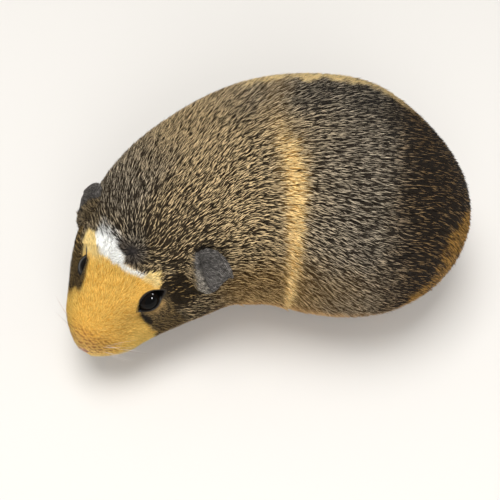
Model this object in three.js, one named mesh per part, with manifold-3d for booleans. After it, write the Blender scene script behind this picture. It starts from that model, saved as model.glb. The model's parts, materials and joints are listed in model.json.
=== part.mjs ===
// A short-haired guinea pig at rest with its head turned to its left, life size.
// Millimetres, +Z up, the floor at z = 0, the rump towards +X and the head towards -X.
import * as THREE from "three";
import Module from "manifold-3d";

const wasm = await Module();
wasm.setup();

// Sizes of the whole animal
const cut = 0.3; // gap between neighbouring pieces
const around = 32; // facets round a body section
const bodyLength = 237; // nose tip to rump, along the spine
const planCentre = { x: -29.49, y: -16.21 }; // middle of the animal seen from above, before it is centred

// The spine seen from above: the head's turn fades out over the neck, the rump swings back a little
const headTurn = 66;
const headTurnFades = { from: 28, to: 171 };
const rumpTurn = 12;
const rumpTurnFrom = 150;
const spineOrigin = 165; // the spine point that lies at x = 0, y = 0

// Sections across the spine: half width, height over and under the axis, and the axis's own height
const stations = [
  { at: 0, half: 10, over: 18, under: 9, axis: 22 },
  { at: 13, half: 19, over: 20.5, under: 12.5, axis: 26 },
  { at: 26, half: 27, over: 23, under: 17, axis: 30 },
  { at: 40, half: 35, over: 28, under: 23, axis: 32.5 },
  { at: 58, half: 43.5, over: 34, under: 29.5, axis: 35.5 },
  { at: 78, half: 50, over: 41, under: 37, axis: 40 },
  { at: 103, half: 55.5, over: 48, under: 44, axis: 43.5 },
  { at: 131, half: 61, over: 56.5, under: 48, axis: 47.5 },
  { at: 163, half: 64.5, over: 57.5, under: 48.5, axis: 48 },
  { at: 194, half: 67, over: 53.5, under: 46, axis: 45.5 },
  { at: 237, half: 63, over: 44, under: 43, axis: 42.5 },
];
const noseRound = { reach: 17, power: 2.4 };
const rumpRound = { reach: 84, power: 2.15 };
const squareness = { head: 1.9, back: 2.1, belly: 2.5 }; // 2 is an ellipse; the belly's is below the axis
const headShapeFades = { from: 45, to: 100 };

// Gentle swells on both sides, by distance from the nose and degrees above the side
const swells = [
  { at: 10, angle: -8, long: 7, wide: 26, lift: 1 }, // whisker pad
  { at: 34, angle: 36, long: 12, wide: 16, lift: -5.6 }, // hollow that the eye lies in
  { at: 34, angle: 72, long: 12, wide: 13, lift: 1.4 }, // brow
  { at: 42, angle: -2, long: 14, wide: 16, lift: 1 }, // cheek
  { at: 104, angle: 8, long: 18, wide: 26, lift: 1.2 }, // shoulder
  { at: 143, angle: -5, long: 18, wide: 26, lift: -0.8 }, // flank
  { at: 190, angle: -12, long: 26, wide: 26, lift: 1 }, // haunch
];

// Where the body is divided, along the spine
const headEnd = 80;
const neckEnd = 104;
const trunkEnd = 192;
const earsStart = 47; // the head's rings stand closer before this
const rumpTurns = 212; // the rump's rings stand closer after this

const eye = { at: 33, back: 2.5, out: 20, rise: 13.5, radius: 7, depth: 4.4, faces: [0.79, 0.54, 0.3] };
// Each ear grows from its own place on the bent head: distance from the nose and degrees above the side
const ear = {
  roots: { left: { at: 63.5, angle: 42 }, right: { at: 56, angle: 38 } },
  rootDepth: 5, // how far it goes on into the head
  length: 20,
  width: 25,
  thickness: 1.8,
  points: 54, // degrees that its tip points down from straight back
  lifts: 17, // degrees that it stands off the head
  tilt: 3, // degrees that its hind edge is turned up
  droop: 4, // how far the tip hangs below the line of the root
  cup: 3, // how far both edges hang below its middle
  facets: { rows: 9, columns: 12 },
};
const noseLeather = { back: 2, rise: 8, radii: [3.4, 5, 3.6] };
const nostril = { back: 1.4, out: 2.4, rise: 8.2, radii: [1.5, 1.2, 0.8] };
const jaw = { at: 12, rise: -13, radii: [14, 12, 9.5] };

// Upper legs lie in the body's side: place along the spine, place out from it, height, and radii
const foreleg = { at: 101, out: 38, high: 22, radii: [15, 24, 24] };
const hindleg = { at: 184, out: 40, high: 28, radii: [44, 32, 40] };

// Feet: the sole's ankle and front, then the toes by their sideways place, length and spread in degrees
const forefoot = {
  at: 72,
  out: 19,
  splay: 6,
  sole: { length: 13, high: 3.9, radius: 4.3, wide: 1.25 },
  toes: [
    { out: -4.2, length: 5.5, spread: -12 },
    { out: -1.4, length: 7.5, spread: -4 },
    { out: 1.5, length: 7.5, spread: 5 },
    { out: 4.2, length: 6, spread: 16 },
  ],
  toeRadius: 1.7,
  claw: { length: 4, radius: 0.8 },
};
const hindfoot = {
  at: 160,
  out: 37,
  splay: 8,
  sole: { length: 27, high: 4.2, radius: 4.8, wide: 1.2 },
  toes: [
    { out: -4, length: 8, spread: -8 },
    { out: 0, length: 10, spread: 0 },
    { out: 4, length: 8, spread: 9 },
  ],
  toeRadius: 2.1,
  claw: { length: 5.5, radius: 1 },
};
const clawTip = 0.35; // radius at a claw's point
const footGap = 1.6; // room left round a foot

const colours = {
  gold: { color: 0xd9954a, roughness: 0.85 },
  agouti: { color: 0x4c4032, roughness: 0.9 },
  slate: { color: 0x524e52, roughness: 0.7 },
  leather: { color: 0xc08e78, roughness: 0.6 },
  sole: { color: 0x4a403c, roughness: 0.75 },
  horn: { color: 0x3a322c, roughness: 0.4 },
  wetBlack: { color: 0x0b0a0c, roughness: 0.06 },
};

const { clamp, lerp, smoothstep, degToRad, radToDeg } = THREE.MathUtils;
const turn = Math.PI * 2;
const upward = new THREE.Vector3(0, 0, 1);
const sides = { left: 1, right: -1 };

// Smooth curve through the stations' values, with a slope at each taken from its neighbours
function stationValue(name, t) {
  const last = stations.length - 2;
  const found = stations.findIndex((station) => station.at > t) - 1;
  const i = found < 0 ? last : found;
  const slopeBetween = (k) =>
    (stations[k + 1][name] - stations[k][name]) / (stations[k + 1].at - stations[k].at);
  const slopeAt = (k) => {
    if (k === 0) return slopeBetween(0);
    if (k === last + 1) return slopeBetween(last);
    const before = stations[k].at - stations[k - 1].at;
    const after = stations[k + 1].at - stations[k].at;
    return (slopeBetween(k - 1) * after + slopeBetween(k) * before) / (before + after);
  };
  const span = stations[i + 1].at - stations[i].at;
  const u = (t - stations[i].at) / span;
  const v = 1 - u;
  return (
    stations[i][name] * (1 + 2 * u) * v * v +
    slopeAt(i) * span * u * v * v +
    stations[i + 1][name] * u * u * (3 - 2 * u) -
    slopeAt(i + 1) * span * u * u * v
  );
}

// 0 at an end of the body, rising to 1 at the given reach from it, as a superellipse's edge does
function roundedEnd(distance, { reach, power }) {
  const q = clamp(1 - distance / reach, 0, 1);
  return (1 - q ** power) ** (1 / power);
}

function spineDirection(t) {
  const head = headTurn * (1 - smoothstep(t, headTurnFades.from, headTurnFades.to));
  const yaw = degToRad(head + rumpTurn * smoothstep(t, rumpTurnFrom, bodyLength));
  const step = 0.5;
  const low = Math.max(t - step, 0);
  const high = Math.min(t + step, bodyLength);
  const rise = (stationValue("axis", high) - stationValue("axis", low)) / (high - low);
  const level = Math.sqrt(1 - rise * rise);
  return new THREE.Vector3(Math.cos(yaw) * level, Math.sin(yaw) * level, rise);
}

// Plan position of the spine at each millimetre, summed from its direction
const spinePlan = [new THREE.Vector2(0, 0)];
for (let t = 1; t <= bodyLength; t += 1) {
  const mean = spineDirection(t - 1).add(spineDirection(t)).multiplyScalar(0.5);
  spinePlan.push(spinePlan[t - 1].clone().add(new THREE.Vector2(mean.x, mean.y)));
}

function spineFrame(t) {
  const i = Math.min(Math.floor(t), bodyLength - 1);
  const plan = spinePlan[i].clone().lerp(spinePlan[i + 1], t - i).sub(spinePlan[spineOrigin]);
  const origin = new THREE.Vector3(plan.x, plan.y, stationValue("axis", t));
  const back = spineDirection(t);
  const left = new THREE.Vector3().crossVectors(back, upward).normalize();
  const up = new THREE.Vector3().crossVectors(left, back);
  return { origin, back, left, up };
}

// A point of the plain body; the angle starts at the animal's left and passes over its back
function plainPoint(t, angle) {
  const ends = roundedEnd(t, noseRound) * roundedEnd(bodyLength - t, rumpRound);
  const across = Math.cos(angle);
  const rise = Math.sin(angle);
  const fade = smoothstep(t, headShapeFades.from, headShapeFades.to);
  const upper = lerp(squareness.head, squareness.back, fade);
  const power = rise >= 0 ? upper : squareness.belly;
  const height = stationValue(rise >= 0 ? "over" : "under", t);
  const scale = ends / (Math.abs(across) ** power + Math.abs(rise) ** power) ** (1 / power);
  const { origin, left, up } = spineFrame(t);
  origin.addScaledVector(left, stationValue("half", t) * scale * across);
  return origin.addScaledVector(up, height * scale * rise);
}

// Outward direction, square to a short step along the body and a short step round it
function bodyNormal(t, angle) {
  const step = 0.25;
  const tilt = 0.01;
  const low = Math.max(t - step, step / 5);
  const high = Math.min(t + step, bodyLength - step / 5);
  const along = plainPoint(high, angle).sub(plainPoint(low, angle));
  const round = plainPoint(t, angle + tilt).sub(plainPoint(t, angle - tilt));
  return round.cross(along).normalize().negate();
}

function swellAt(t, angle) {
  const lifts = swells.map(({ at, angle: middle, long, wide, lift }) => {
    const above = radToDeg(Math.asin(Math.sin(angle)));
    return lift * Math.exp(-(((t - at) / long) ** 2) - ((above - middle) / wide) ** 2);
  });
  return lifts.reduce((sum, lift) => sum + lift, 0);
}

function bodyPoint(t, angle) {
  const point = plainPoint(t, angle).addScaledVector(bodyNormal(t, angle), swellAt(t, angle));
  point.z = Math.max(point.z, 0);
  return point;
}

// Closed solid through rings of equally many points, each ring running the same way round
function solidFromRings(rings) {
  const count = rings[0].length;
  const middle = (ring) =>
    ring.reduce((sum, point) => sum.add(point), new THREE.Vector3()).divideScalar(count);
  const points = [...rings.flat(), middle(rings[0]), middle(rings[rings.length - 1])];
  const first = rings.length * count;
  const end = first - count;
  const triangles = [];
  for (let k = 0; k < count; k += 1) {
    const next = (k + 1) % count;
    triangles.push(first, next, k, first + 1, end + k, end + next);
    for (let base = 0; base < end; base += count) {
      triangles.push(base + k, base + next, base + count + next);
      triangles.push(base + k, base + count + next, base + count + k);
    }
  }
  const mesh = new wasm.Mesh({
    numProp: 3,
    vertProperties: new Float32Array(points.flatMap((point) => point.toArray())),
    triVerts: new Uint32Array(triangles),
  });
  const solid = new wasm.Manifold(mesh);
  return solid.volume() > 0 ? solid : turnedInsideOut(mesh);
}

function turnedInsideOut(mesh) {
  const triVerts = mesh.triVerts.slice().reverse();
  return new wasm.Manifold(new wasm.Mesh({ numProp: 3, vertProperties: mesh.vertProperties, triVerts }));
}

// The angle round the section that lies as far above the given side
const sideAngle = (degrees, side) => (side > 0 ? degToRad(degrees) : Math.PI - degToRad(degrees));

const times = (count, make) => Array.from({ length: count }, (_, k) => make(k));

const evenly = (from, to, count) => times(count, (k) => lerp(from, to, k / (count - 1)));

// Distances that crowd towards the end of the body, where the surface turns across
const crowded = (reach, count) =>
  times(count, (k) => reach * (1 - Math.cos(((k + 0.4) / count) * (Math.PI / 2))));

const bodyRing = (t) => times(around, (k) => bodyPoint(t, (k / around) * turn));

// An ellipsoid with its middle at a point given in a frame, and its radii along the frame's axes
function ellipsoid(frame, { back = 0, out = 0, rise = 0, radii }, grow = 0, rows = 6, columns = 12) {
  const [long, wide, high] = radii.map((radius) => radius + grow);
  const middle = frame.origin
    .clone()
    .addScaledVector(frame.back, back)
    .addScaledVector(frame.left, out)
    .addScaledVector(frame.up, rise);
  const ring = (row) => {
    const tilt = ((row + 0.5) / rows) * Math.PI;
    return times(columns, (k) => {
      const angle = (k / columns) * turn;
      return middle
        .clone()
        .addScaledVector(frame.back, -long * Math.cos(tilt))
        .addScaledVector(frame.left, wide * Math.sin(tilt) * Math.cos(angle))
        .addScaledVector(frame.up, high * Math.sin(tilt) * Math.sin(angle));
    });
  };
  return solidFromRings(times(rows, ring));
}

// A frame on the floor under the spine, with its own left turned out to the given side
function floorFrame(t, side, splay = 0) {
  const { origin, back } = spineFrame(t);
  const level = back.setZ(0).normalize();
  const out = new THREE.Vector3().crossVectors(level, upward).multiplyScalar(side);
  const swing = degToRad(splay) * side;
  return {
    origin: origin.setZ(0),
    back: level.applyAxisAngle(upward, swing),
    left: out.applyAxisAngle(upward, swing),
    up: upward,
  };
}

function upperLeg({ at, out, high, radii }, side, grow = 0) {
  return ellipsoid(floorFrame(at, side), { out, rise: high, radii }, grow);
}

// A round bar along a bent path with rounded ends, flattened where it meets the floor
function bar(path, radiusAt, { wide = 1, columns = 6, steps = 4 }) {
  const rings = times(steps, (row) => {
    const u = row / (steps - 1);
    const point = path.getPoint(u);
    const ahead = path.getTangent(u);
    const left = new THREE.Vector3().crossVectors(upward, ahead).normalize();
    const up = new THREE.Vector3().crossVectors(ahead, left);
    return times(columns, (k) => {
      const angle = (k / columns) * turn;
      const corner = point.clone().addScaledVector(left, wide * radiusAt(u) * Math.cos(angle));
      corner.addScaledVector(up, radiusAt(u) * Math.sin(angle));
      corner.z = Math.max(corner.z, 0);
      return corner;
    });
  });
  return solidFromRings(rings);
}

// A point given in a frame, forward being away from the rump
const inFrame = (frame, forward, out, rise) =>
  frame.origin
    .clone()
    .addScaledVector(frame.back, -forward)
    .addScaledVector(frame.left, out)
    .addScaledVector(frame.up, rise);

// Radius along a bar that keeps its thickness and rounds off at both ends to the root of the given share
const roundedBar = (radius, share) => (u) =>
  radius * Math.sqrt(Math.max(1 - Math.abs(2 * u - 1) ** 6, share));

function footFrame(foot, side) {
  const frame = floorFrame(foot.at, side, -foot.splay);
  frame.origin.addScaledVector(floorFrame(foot.at, side).left, foot.out);
  return frame;
}

// A point on a toe's own line, which spreads away from the sole's
function alongToe(frame, toe, forward, rise) {
  const out = toe.out + forward * Math.tan(degToRad(toe.spread));
  return inFrame(frame, forward, out, rise);
}

// A toe starts inside the sole, rises to its knuckle and comes down to its tip
function toePath(frame, foot, toe) {
  const { toeRadius, sole } = foot;
  const root = alongToe(frame, toe, -toeRadius * 1.6, sole.high * 0.85);
  const knuckle = alongToe(frame, toe, toe.length / 2, toeRadius * 1.7);
  const tip = alongToe(frame, toe, toe.length, toeRadius * 0.9);
  return new THREE.CatmullRomCurve3([root, knuckle, tip]);
}

function clawSolid(frame, foot, toe) {
  const { length, radius } = foot.claw;
  const start = toe.length + cut;
  const root = alongToe(frame, toe, start, foot.toeRadius * 0.9);
  const bend = alongToe(frame, toe, start + length / 2, foot.toeRadius * 0.75);
  const point = alongToe(frame, toe, start + length, clawTip);
  const path = new THREE.CatmullRomCurve3([root, bend, point]);
  return bar(path, (u) => lerp(radius, clawTip, u), { columns: 5, steps: 3 });
}

function footSolid(foot, side) {
  const frame = footFrame(foot, side);
  const { length, high, radius, wide } = foot.sole;
  const heel = inFrame(frame, -length, 0, high);
  const front = inFrame(frame, 0, 0, high * 0.8);
  const path = new THREE.LineCurve3(heel, front);
  const sole = bar(path, roundedBar(radius, 0.1), { wide, columns: 10, steps: 5 });
  const toeBar = (toe) => bar(toePath(frame, foot, toe), roundedBar(foot.toeRadius, 0.2), {});
  return foot.toes.reduce((whole, toe) => whole.add(toeBar(toe)), sole);
}

// The hollow under the body that a foot and its claws lie in
function footRoom(foot, side) {
  const frame = footFrame(foot, side);
  const { length, radius } = foot.sole;
  const longest = Math.max(...foot.toes.map((toe) => toe.length)) + foot.claw.length;
  const heel = inFrame(frame, -length - footGap, 0, radius);
  const point = inFrame(frame, longest, 0, radius);
  const path = new THREE.LineCurve3(heel, point);
  return bar(path, roundedBar(radius + footGap, 0.3), { wide: 1.5, columns: 10 });
}

// Where an ear grows, the ways that it runs, widens and faces; all turned from the head's surface there
function earFrame(side) {
  const place = side > 0 ? ear.roots.left : ear.roots.right;
  const angle = sideAngle(place.angle, side);
  const step = 0.5;
  const root = bodyPoint(place.at, angle);
  const normal = bodyNormal(place.at, angle);
  const back = bodyPoint(place.at + step, angle).sub(bodyPoint(place.at - step, angle));
  back.projectOnPlane(normal).normalize();
  const down = new THREE.Vector3().crossVectors(back, normal).multiplyScalar(side);
  const flat = back.multiplyScalar(Math.cos(degToRad(ear.points)));
  flat.addScaledVector(down, Math.sin(degToRad(ear.points)));
  const along = flat.clone().multiplyScalar(Math.cos(degToRad(ear.lifts)));
  along.addScaledVector(normal, Math.sin(degToRad(ear.lifts)));
  const hind = new THREE.Vector3().crossVectors(normal, flat).multiplyScalar(side);
  hind.applyAxisAngle(along, degToRad(ear.tilt) * side);
  const face = new THREE.Vector3().crossVectors(along, hind).multiplyScalar(side);
  return { root, along, hind, face };
}

// The ear is a thin domed leaf that droops outwards; a ring of it is a flattened loop across the leaf
function earSolid(side, grow = 0) {
  const { root, along, hind, face } = earFrame(side);
  const { rows, columns } = ear.facets;
  const ring = (row) => {
    const share = row / (rows - 1);
    const reach = lerp(-ear.rootDepth, ear.length, share);
    const endGrowth = grow * Math.trunc(2 * share - 1); // only the first and last rings move along
    const u = Math.max(reach / ear.length, 0);
    const leaf = Math.sin(Math.PI * (0.2 + 0.78 * u ** 0.9)) ** 0.62;
    const halfWidth = (ear.width / 2) * leaf;
    const thick = (ear.thickness / 2) * (1 - 0.35 * u) + grow;
    return times(columns, (k) => {
      const angle = (k / columns) * turn;
      const across = (halfWidth + grow) * Math.cos(angle);
      const hang = ear.droop * u * u + ear.cup * leaf * (across / halfWidth) ** 2;
      return root
        .clone()
        .addScaledVector(along, reach + endGrowth)
        .addScaledVector(hind, across)
        .addScaledVector(face, thick * Math.sin(angle) - hang);
    });
  };
  return solidFromRings(times(rows, ring));
}

function eyeSolid(side, grow = 0) {
  const { origin, back, left, up } = spineFrame(eye.at);
  const out = left.multiplyScalar(side);
  const [sideways, upwards, ahead] = eye.faces;
  const looks = new THREE.Vector3()
    .addScaledVector(out, sideways)
    .addScaledVector(up, upwards)
    .addScaledVector(back, -ahead)
    .normalize();
  origin.addScaledVector(back, eye.back).addScaledVector(out, eye.out).addScaledVector(up, eye.rise);
  origin.addScaledVector(looks, -eye.depth);
  const lidLine = new THREE.Vector3().crossVectors(upward, looks).normalize();
  const frame = { origin, back: looks, left: lidLine, up: new THREE.Vector3().crossVectors(looks, lidLine) };
  return ellipsoid(frame, { radii: [eye.radius, eye.radius, eye.radius] }, grow, 8, 14);
}

// A cut can leave a crumb beside the piece, so only the largest body is kept
function largest(solid) {
  const bodies = solid.decompose();
  return bodies.reduce((best, body) => (body.volume() > best.volume() ? body : best));
}

function geometryOf(solid) {
  const { vertProperties, triVerts } = solid.getMesh();
  const geometry = new THREE.BufferGeometry();
  geometry.setAttribute("position", new THREE.BufferAttribute(vertProperties, 3));
  geometry.setIndex(new THREE.BufferAttribute(triVerts, 1));
  geometry.computeVertexNormals();
  return geometry;
}

const animal = new THREE.Group();
animal.position.set(-planCentre.x, -planCentre.y, 0);

function addPiece(name, solid, colour) {
  const piece = new THREE.Mesh(geometryOf(largest(solid)), new THREE.MeshStandardMaterial(colour));
  piece.name = name;
  animal.add(piece);
}

function addToBothSides(name, make, colour) {
  Object.entries(sides).forEach(([label, side]) => addPiece(`${name}_${label}`, make(side), colour));
}

const bothSides = (make) => make(1).add(make(-1));

// Rings of each length of the body
const headRings = [
  ...crowded(noseRound.reach, 6),
  ...evenly(noseRound.reach, earsStart, 8),
  ...evenly(earsStart, headEnd, 5).slice(1),
];
const neckRings = evenly(headEnd + cut, neckEnd, 3);
const trunkRings = evenly(neckEnd + cut, trunkEnd, 7);
const rumpRings = [
  ...evenly(trunkEnd + cut, rumpTurns, 3),
  ...crowded(bodyLength - rumpTurns, 5).reverse().map((distance) => bodyLength - distance),
];
const bodyOf = (distances) => solidFromRings(distances.map(bodyRing));
const wholeBody = bodyOf([...headRings, ...neckRings, ...trunkRings, ...rumpRings]);

// What the body makes room for
const snout = spineFrame(0);
const jawVolume = (grow) => ellipsoid(spineFrame(jaw.at), jaw, grow, 7);
const leatherVolume = (grow) => ellipsoid(snout, noseLeather, grow);
const forelegs = (grow) => bothSides((side) => upperLeg(foreleg, side, grow));
const hindlegs = (grow) => bothSides((side) => upperLeg(hindleg, side, grow));
const roomFor = (foot) => bothSides((side) => footRoom(foot, side));
const feet = roomFor(forefoot).add(roomFor(hindfoot));
const legs = forelegs(cut).add(hindlegs(cut));
const behindHead = wholeBody.subtract(bodyOf(headRings));
const portion = (rings) => bodyOf(rings).subtract(legs).subtract(feet);
const legSolid = (leg) => (side) => wholeBody.intersect(upperLeg(leg, side)).subtract(feet);

function headSolid() {
  const eyes = bothSides((side) => eyeSolid(side, cut));
  const ears = bothSides((side) => earSolid(side, cut));
  const face = bodyOf(headRings).subtract(jawVolume(cut)).subtract(leatherVolume(cut));
  return face.subtract(eyes).subtract(ears).subtract(legs).subtract(feet);
}

function jawSolid() {
  return wholeBody.intersect(jawVolume(0)).subtract(leatherVolume(cut));
}

function noseSolid() {
  const holes = bothSides((side) => ellipsoid(snout, { ...nostril, out: nostril.out * side }, 0, 5, 6));
  return wholeBody.intersect(leatherVolume(0)).subtract(holes);
}

addPiece("head", headSolid(), colours.gold);
addPiece("jaw", jawSolid(), colours.gold);
addPiece("nose", noseSolid(), colours.leather);
addPiece("neck", portion(neckRings), colours.agouti);
addPiece("trunk", portion(trunkRings), colours.agouti);
addPiece("rump", portion(rumpRings), colours.agouti);
addToBothSides("eye", eyeSolid, colours.wetBlack);
addToBothSides("ear", (side) => earSolid(side).subtract(behindHead), colours.slate);
addToBothSides("foreleg", legSolid(foreleg), colours.agouti);
addToBothSides("hindleg", legSolid(hindleg), colours.agouti);

function addFoot(name, foot) {
  addToBothSides(name, (side) => footSolid(foot, side), colours.sole);
  Object.entries(sides).forEach(([label, side]) => {
    const frame = footFrame(foot, side);
    foot.toes.forEach((toe, k) => {
      addPiece(`${name}_claw_${label}_${k + 1}`, clawSolid(frame, foot, toe), colours.horn);
    });
  });
}

addFoot("forefoot", forefoot);
addFoot("hindfoot", hindfoot);

export default animal;
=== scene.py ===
import json
import math

import bpy
import numpy as np
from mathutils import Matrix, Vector

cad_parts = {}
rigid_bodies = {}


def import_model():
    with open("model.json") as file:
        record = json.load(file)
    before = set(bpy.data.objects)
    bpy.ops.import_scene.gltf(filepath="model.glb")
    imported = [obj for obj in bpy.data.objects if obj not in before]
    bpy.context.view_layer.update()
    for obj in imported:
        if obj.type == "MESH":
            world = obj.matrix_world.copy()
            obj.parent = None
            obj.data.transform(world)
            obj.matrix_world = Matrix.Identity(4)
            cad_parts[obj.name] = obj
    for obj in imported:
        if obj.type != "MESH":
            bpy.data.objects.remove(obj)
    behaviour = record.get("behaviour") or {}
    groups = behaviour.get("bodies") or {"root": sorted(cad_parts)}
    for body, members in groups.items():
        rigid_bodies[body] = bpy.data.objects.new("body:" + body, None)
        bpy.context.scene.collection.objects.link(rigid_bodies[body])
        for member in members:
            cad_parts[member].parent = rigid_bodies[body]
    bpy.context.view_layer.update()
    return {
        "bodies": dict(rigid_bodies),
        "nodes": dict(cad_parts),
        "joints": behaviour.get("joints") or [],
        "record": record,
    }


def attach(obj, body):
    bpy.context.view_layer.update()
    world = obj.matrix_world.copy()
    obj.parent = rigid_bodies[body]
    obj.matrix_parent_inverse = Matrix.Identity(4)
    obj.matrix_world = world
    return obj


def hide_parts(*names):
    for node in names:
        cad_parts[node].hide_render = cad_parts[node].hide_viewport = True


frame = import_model()
mm = 0.001
floorLift = 0.12  # mm that the lowest hairs stay above the floor
upward = np.array([0.0, 0.0, 1.0])

# The form that the solids follow, in millimetres along the bent back from the nose tip
body = {
    "length": 237,
    "planCentre": (-29.49, -16.21),
    "origin": 165,  # the place on the spine that was at zero before centring
    "headTurn": 66,
    "headTurnFades": (28, 171),
    "rumpTurn": 12,
    "rumpTurnFrom": 150,
    "noseRound": (17, 2.4),
    "rumpRound": (84, 2.15),
    "powers": {"head": 1.9, "back": 2.1, "belly": 2.5},
    "headShapeFades": (45, 100),
}
# Place, half width, height over and under the spine, height of the spine
stations = np.array([
    [0, 10, 18, 9, 22],
    [13, 19, 20.5, 12.5, 26],
    [26, 27, 23, 17, 30],
    [40, 35, 28, 23, 32.5],
    [58, 43.5, 34, 29.5, 35.5],
    [78, 50, 41, 37, 40],
    [103, 55.5, 48, 44, 43.5],
    [131, 61, 56.5, 48, 47.5],
    [163, 64.5, 57.5, 48.5, 48],
    [194, 67, 53.5, 46, 45.5],
    [237, 63, 44, 43, 42.5],
], float)
# Place, degrees above the side, length, width in degrees, lift
swells = [
    (10, -8, 7, 26, 1),
    (34, 36, 12, 16, -5.6),
    (34, 72, 12, 13, 1.4),
    (42, -2, 14, 16, 1),
    (104, 8, 18, 26, 1.2),
    (143, -5, 18, 26, -0.8),
    (190, -12, 26, 26, 1),
]


def linear(red, green, blue):
    # linear value of a display colour: its share of 255 to the power 2.2
    return (np.array([red, green, blue]) / 255) ** 2.2


def smooth(low, high, x):
    # 3 u squared less 2 u cubed, u being the share of the way from low to high
    u = np.clip((x - low) / (high - low), 0, 1)
    return u * u * (3 - 2 * u)


def mix(a, b, share):
    # a where the share is 0, b where it is 1
    return a + (b - a) * share


def norm(v):
    # each vector's length
    return np.linalg.norm(v, axis=-1)


def unit(v):
    # each vector divided by its length
    return v / np.maximum(norm(v)[..., None], 1e-9)


def dot(a, b):
    # sum of the products of the vectors' parts
    return (a * b).sum(-1)


def bump(x, middle, width):
    # bell curve of height 1
    return np.exp(-(((x - middle) / width) ** 2))


def atStation(column, t):
    # cubic through the stations, its slope at each one the weighted mean of its neighbours' slopes
    xs, ys = stations[:, 0], stations[:, column]
    gaps = np.diff(xs)
    steps = np.diff(ys) / gaps
    slopes = np.concatenate([
        steps[:1],
        (steps[:-1] * gaps[1:] + steps[1:] * gaps[:-1]) / (xs[2:] - xs[:-2]),
        steps[-1:],
    ])
    i = np.clip(np.searchsorted(xs, t, side="right") - 1, 0, len(xs) - 2)
    span = xs[i + 1] - xs[i]
    u = (t - xs[i]) / span
    v = 1 - u
    rising = ys[i] * (1 + 2 * u) * v * v + slopes[i] * span * u * v * v
    return rising + ys[i + 1] * u * u * (3 - 2 * u) - slopes[i + 1] * span * u * u * v


def spineTable():
    # direction turns with the yaw and follows the axis's rise; places are its running sum
    t = np.linspace(0, body["length"], 4 * body["length"] + 1)
    head = body["headTurn"] * (1 - smooth(*body["headTurnFades"], t))
    rump = body["rumpTurn"] * smooth(body["rumpTurnFrom"], body["length"], t)
    yaw = np.radians(head + rump)
    height = atStation(4, t)
    rise = np.gradient(height, t)
    level = np.sqrt(1 - rise * rise)
    back = np.stack([np.cos(yaw) * level, np.sin(yaw) * level, rise], -1)
    steps = (back[1:, :2] + back[:-1, :2]) / 2 * (t[1] - t[0])
    plan = np.concatenate([np.zeros((1, 2)), np.cumsum(steps, 0)])
    plan -= plan[4 * body["origin"]] + np.array(body["planCentre"])
    return t, np.column_stack([plan, height]), back


spineT, spinePlaces, spineBacks = spineTable()


def spineFrame(t):
    # origin, back, left and up at each place along the spine
    origin = np.stack([np.interp(t, spineT, spinePlaces[:, k]) for k in range(3)], -1)
    back = unit(np.stack([np.interp(t, spineT, spineBacks[:, k]) for k in range(3)], -1))
    left = unit(np.cross(back, upward))
    return origin, back, left, np.cross(left, back)


def roundedEnd(distance, reach, power):
    # superellipse: 0 at the end itself, 1 from the given reach on
    q = np.clip(1 - distance / reach, 0, 1)
    return (1 - q**power) ** (1 / power)


def plainPoint(t, angle):
    # superellipse across the spine: half width times cosine, over or under times sine, shrunk at both ends
    ends = roundedEnd(t, *body["noseRound"]) * roundedEnd(body["length"] - t, *body["rumpRound"])
    across, rise = np.cos(angle), np.sin(angle)
    powers = body["powers"]
    upper = mix(powers["head"], powers["back"], smooth(*body["headShapeFades"], t))
    power = np.where(rise >= 0, upper, powers["belly"])
    scale = ends / (np.abs(across) ** power + np.abs(rise) ** power) ** (1 / power)
    high = np.where(rise >= 0, atStation(2, t), atStation(3, t))
    origin, _, left, up = spineFrame(t)
    out = (atStation(1, t) * scale * across)[..., None]
    return origin + left * out + up * (high * scale * rise)[..., None]


def swellAt(t, angle):
    # sum of the swells, each a bell along the back times a bell in degrees above the side
    above = np.degrees(np.arcsin(np.clip(np.sin(angle), -1, 1)))
    lifts = [lift * bump(t, at, long) * bump(above, level, wide) for at, level, long, wide, lift in swells]
    return sum(lifts)


# Half steps in millimetres and radians that slopes are taken over, and how near the ends these come
nudge = {"t": 0.25, "angle": 0.01, "ends": 0.05}


def surface(t, angle):
    # point on the coat's tips, outward normal, and the steps per millimetre along and per radian round
    low = np.maximum(t - nudge["t"], nudge["ends"])
    high = np.minimum(t + nudge["t"], body["length"] - nudge["ends"])
    less, more, turn = angle - nudge["angle"], angle + nudge["angle"], 2 * nudge["angle"]
    alongStep = (plainPoint(high, angle) - plainPoint(low, angle)) / (high - low)[..., None]
    aboutStep = (plainPoint(t, more) - plainPoint(t, less)) / turn
    normal = -unit(np.cross(aboutStep, alongStep))
    point = plainPoint(t, angle) + normal * swellAt(t, angle)[..., None]
    point[..., 2] = np.maximum(point[..., 2], 0)
    # the swells' own slopes
    alongStep = alongStep + normal * ((swellAt(high, angle) - swellAt(low, angle)) / (high - low))[..., None]
    aboutStep = aboutStep + normal * ((swellAt(t, more) - swellAt(t, less)) / turn)[..., None]
    return point, -unit(np.cross(aboutStep, alongStep)), alongStep, aboutStep


def waves(points, size, seed):
    # smooth noise between about -1 and 1: the sum of sine waves of about this length in chosen directions
    pick = np.random.default_rng(seed)
    total, count = 0, 7
    for _ in range(count):
        direction = unit(pick.normal(size=3)) * pick.uniform(0.7, 1.5)
        total = total + np.sin(points @ direction * (2 * math.pi / size) + pick.uniform(0, 6.3))
    return total / 3


def oneFrame(t):
    # the spine's frame at a single place
    return [row[0] for row in spineFrame(np.array([float(t)]))]


# Eyes: the ball's place, the way that it faces, and the almond of the lids in its own plane
eye = {
    "at": 33, "back": 2.5, "out": 20, "rise": 13.5, "radius": 7, "depth": 4.4, "faces": (0.79, 0.54, 0.3),
    "half": (8, 4.3), "tilt": 17,
    "shift": {"left": (0.1, 0.6), "right": (-0.6, 1.5)},  # of the lids over the ball, back and up
}
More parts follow.
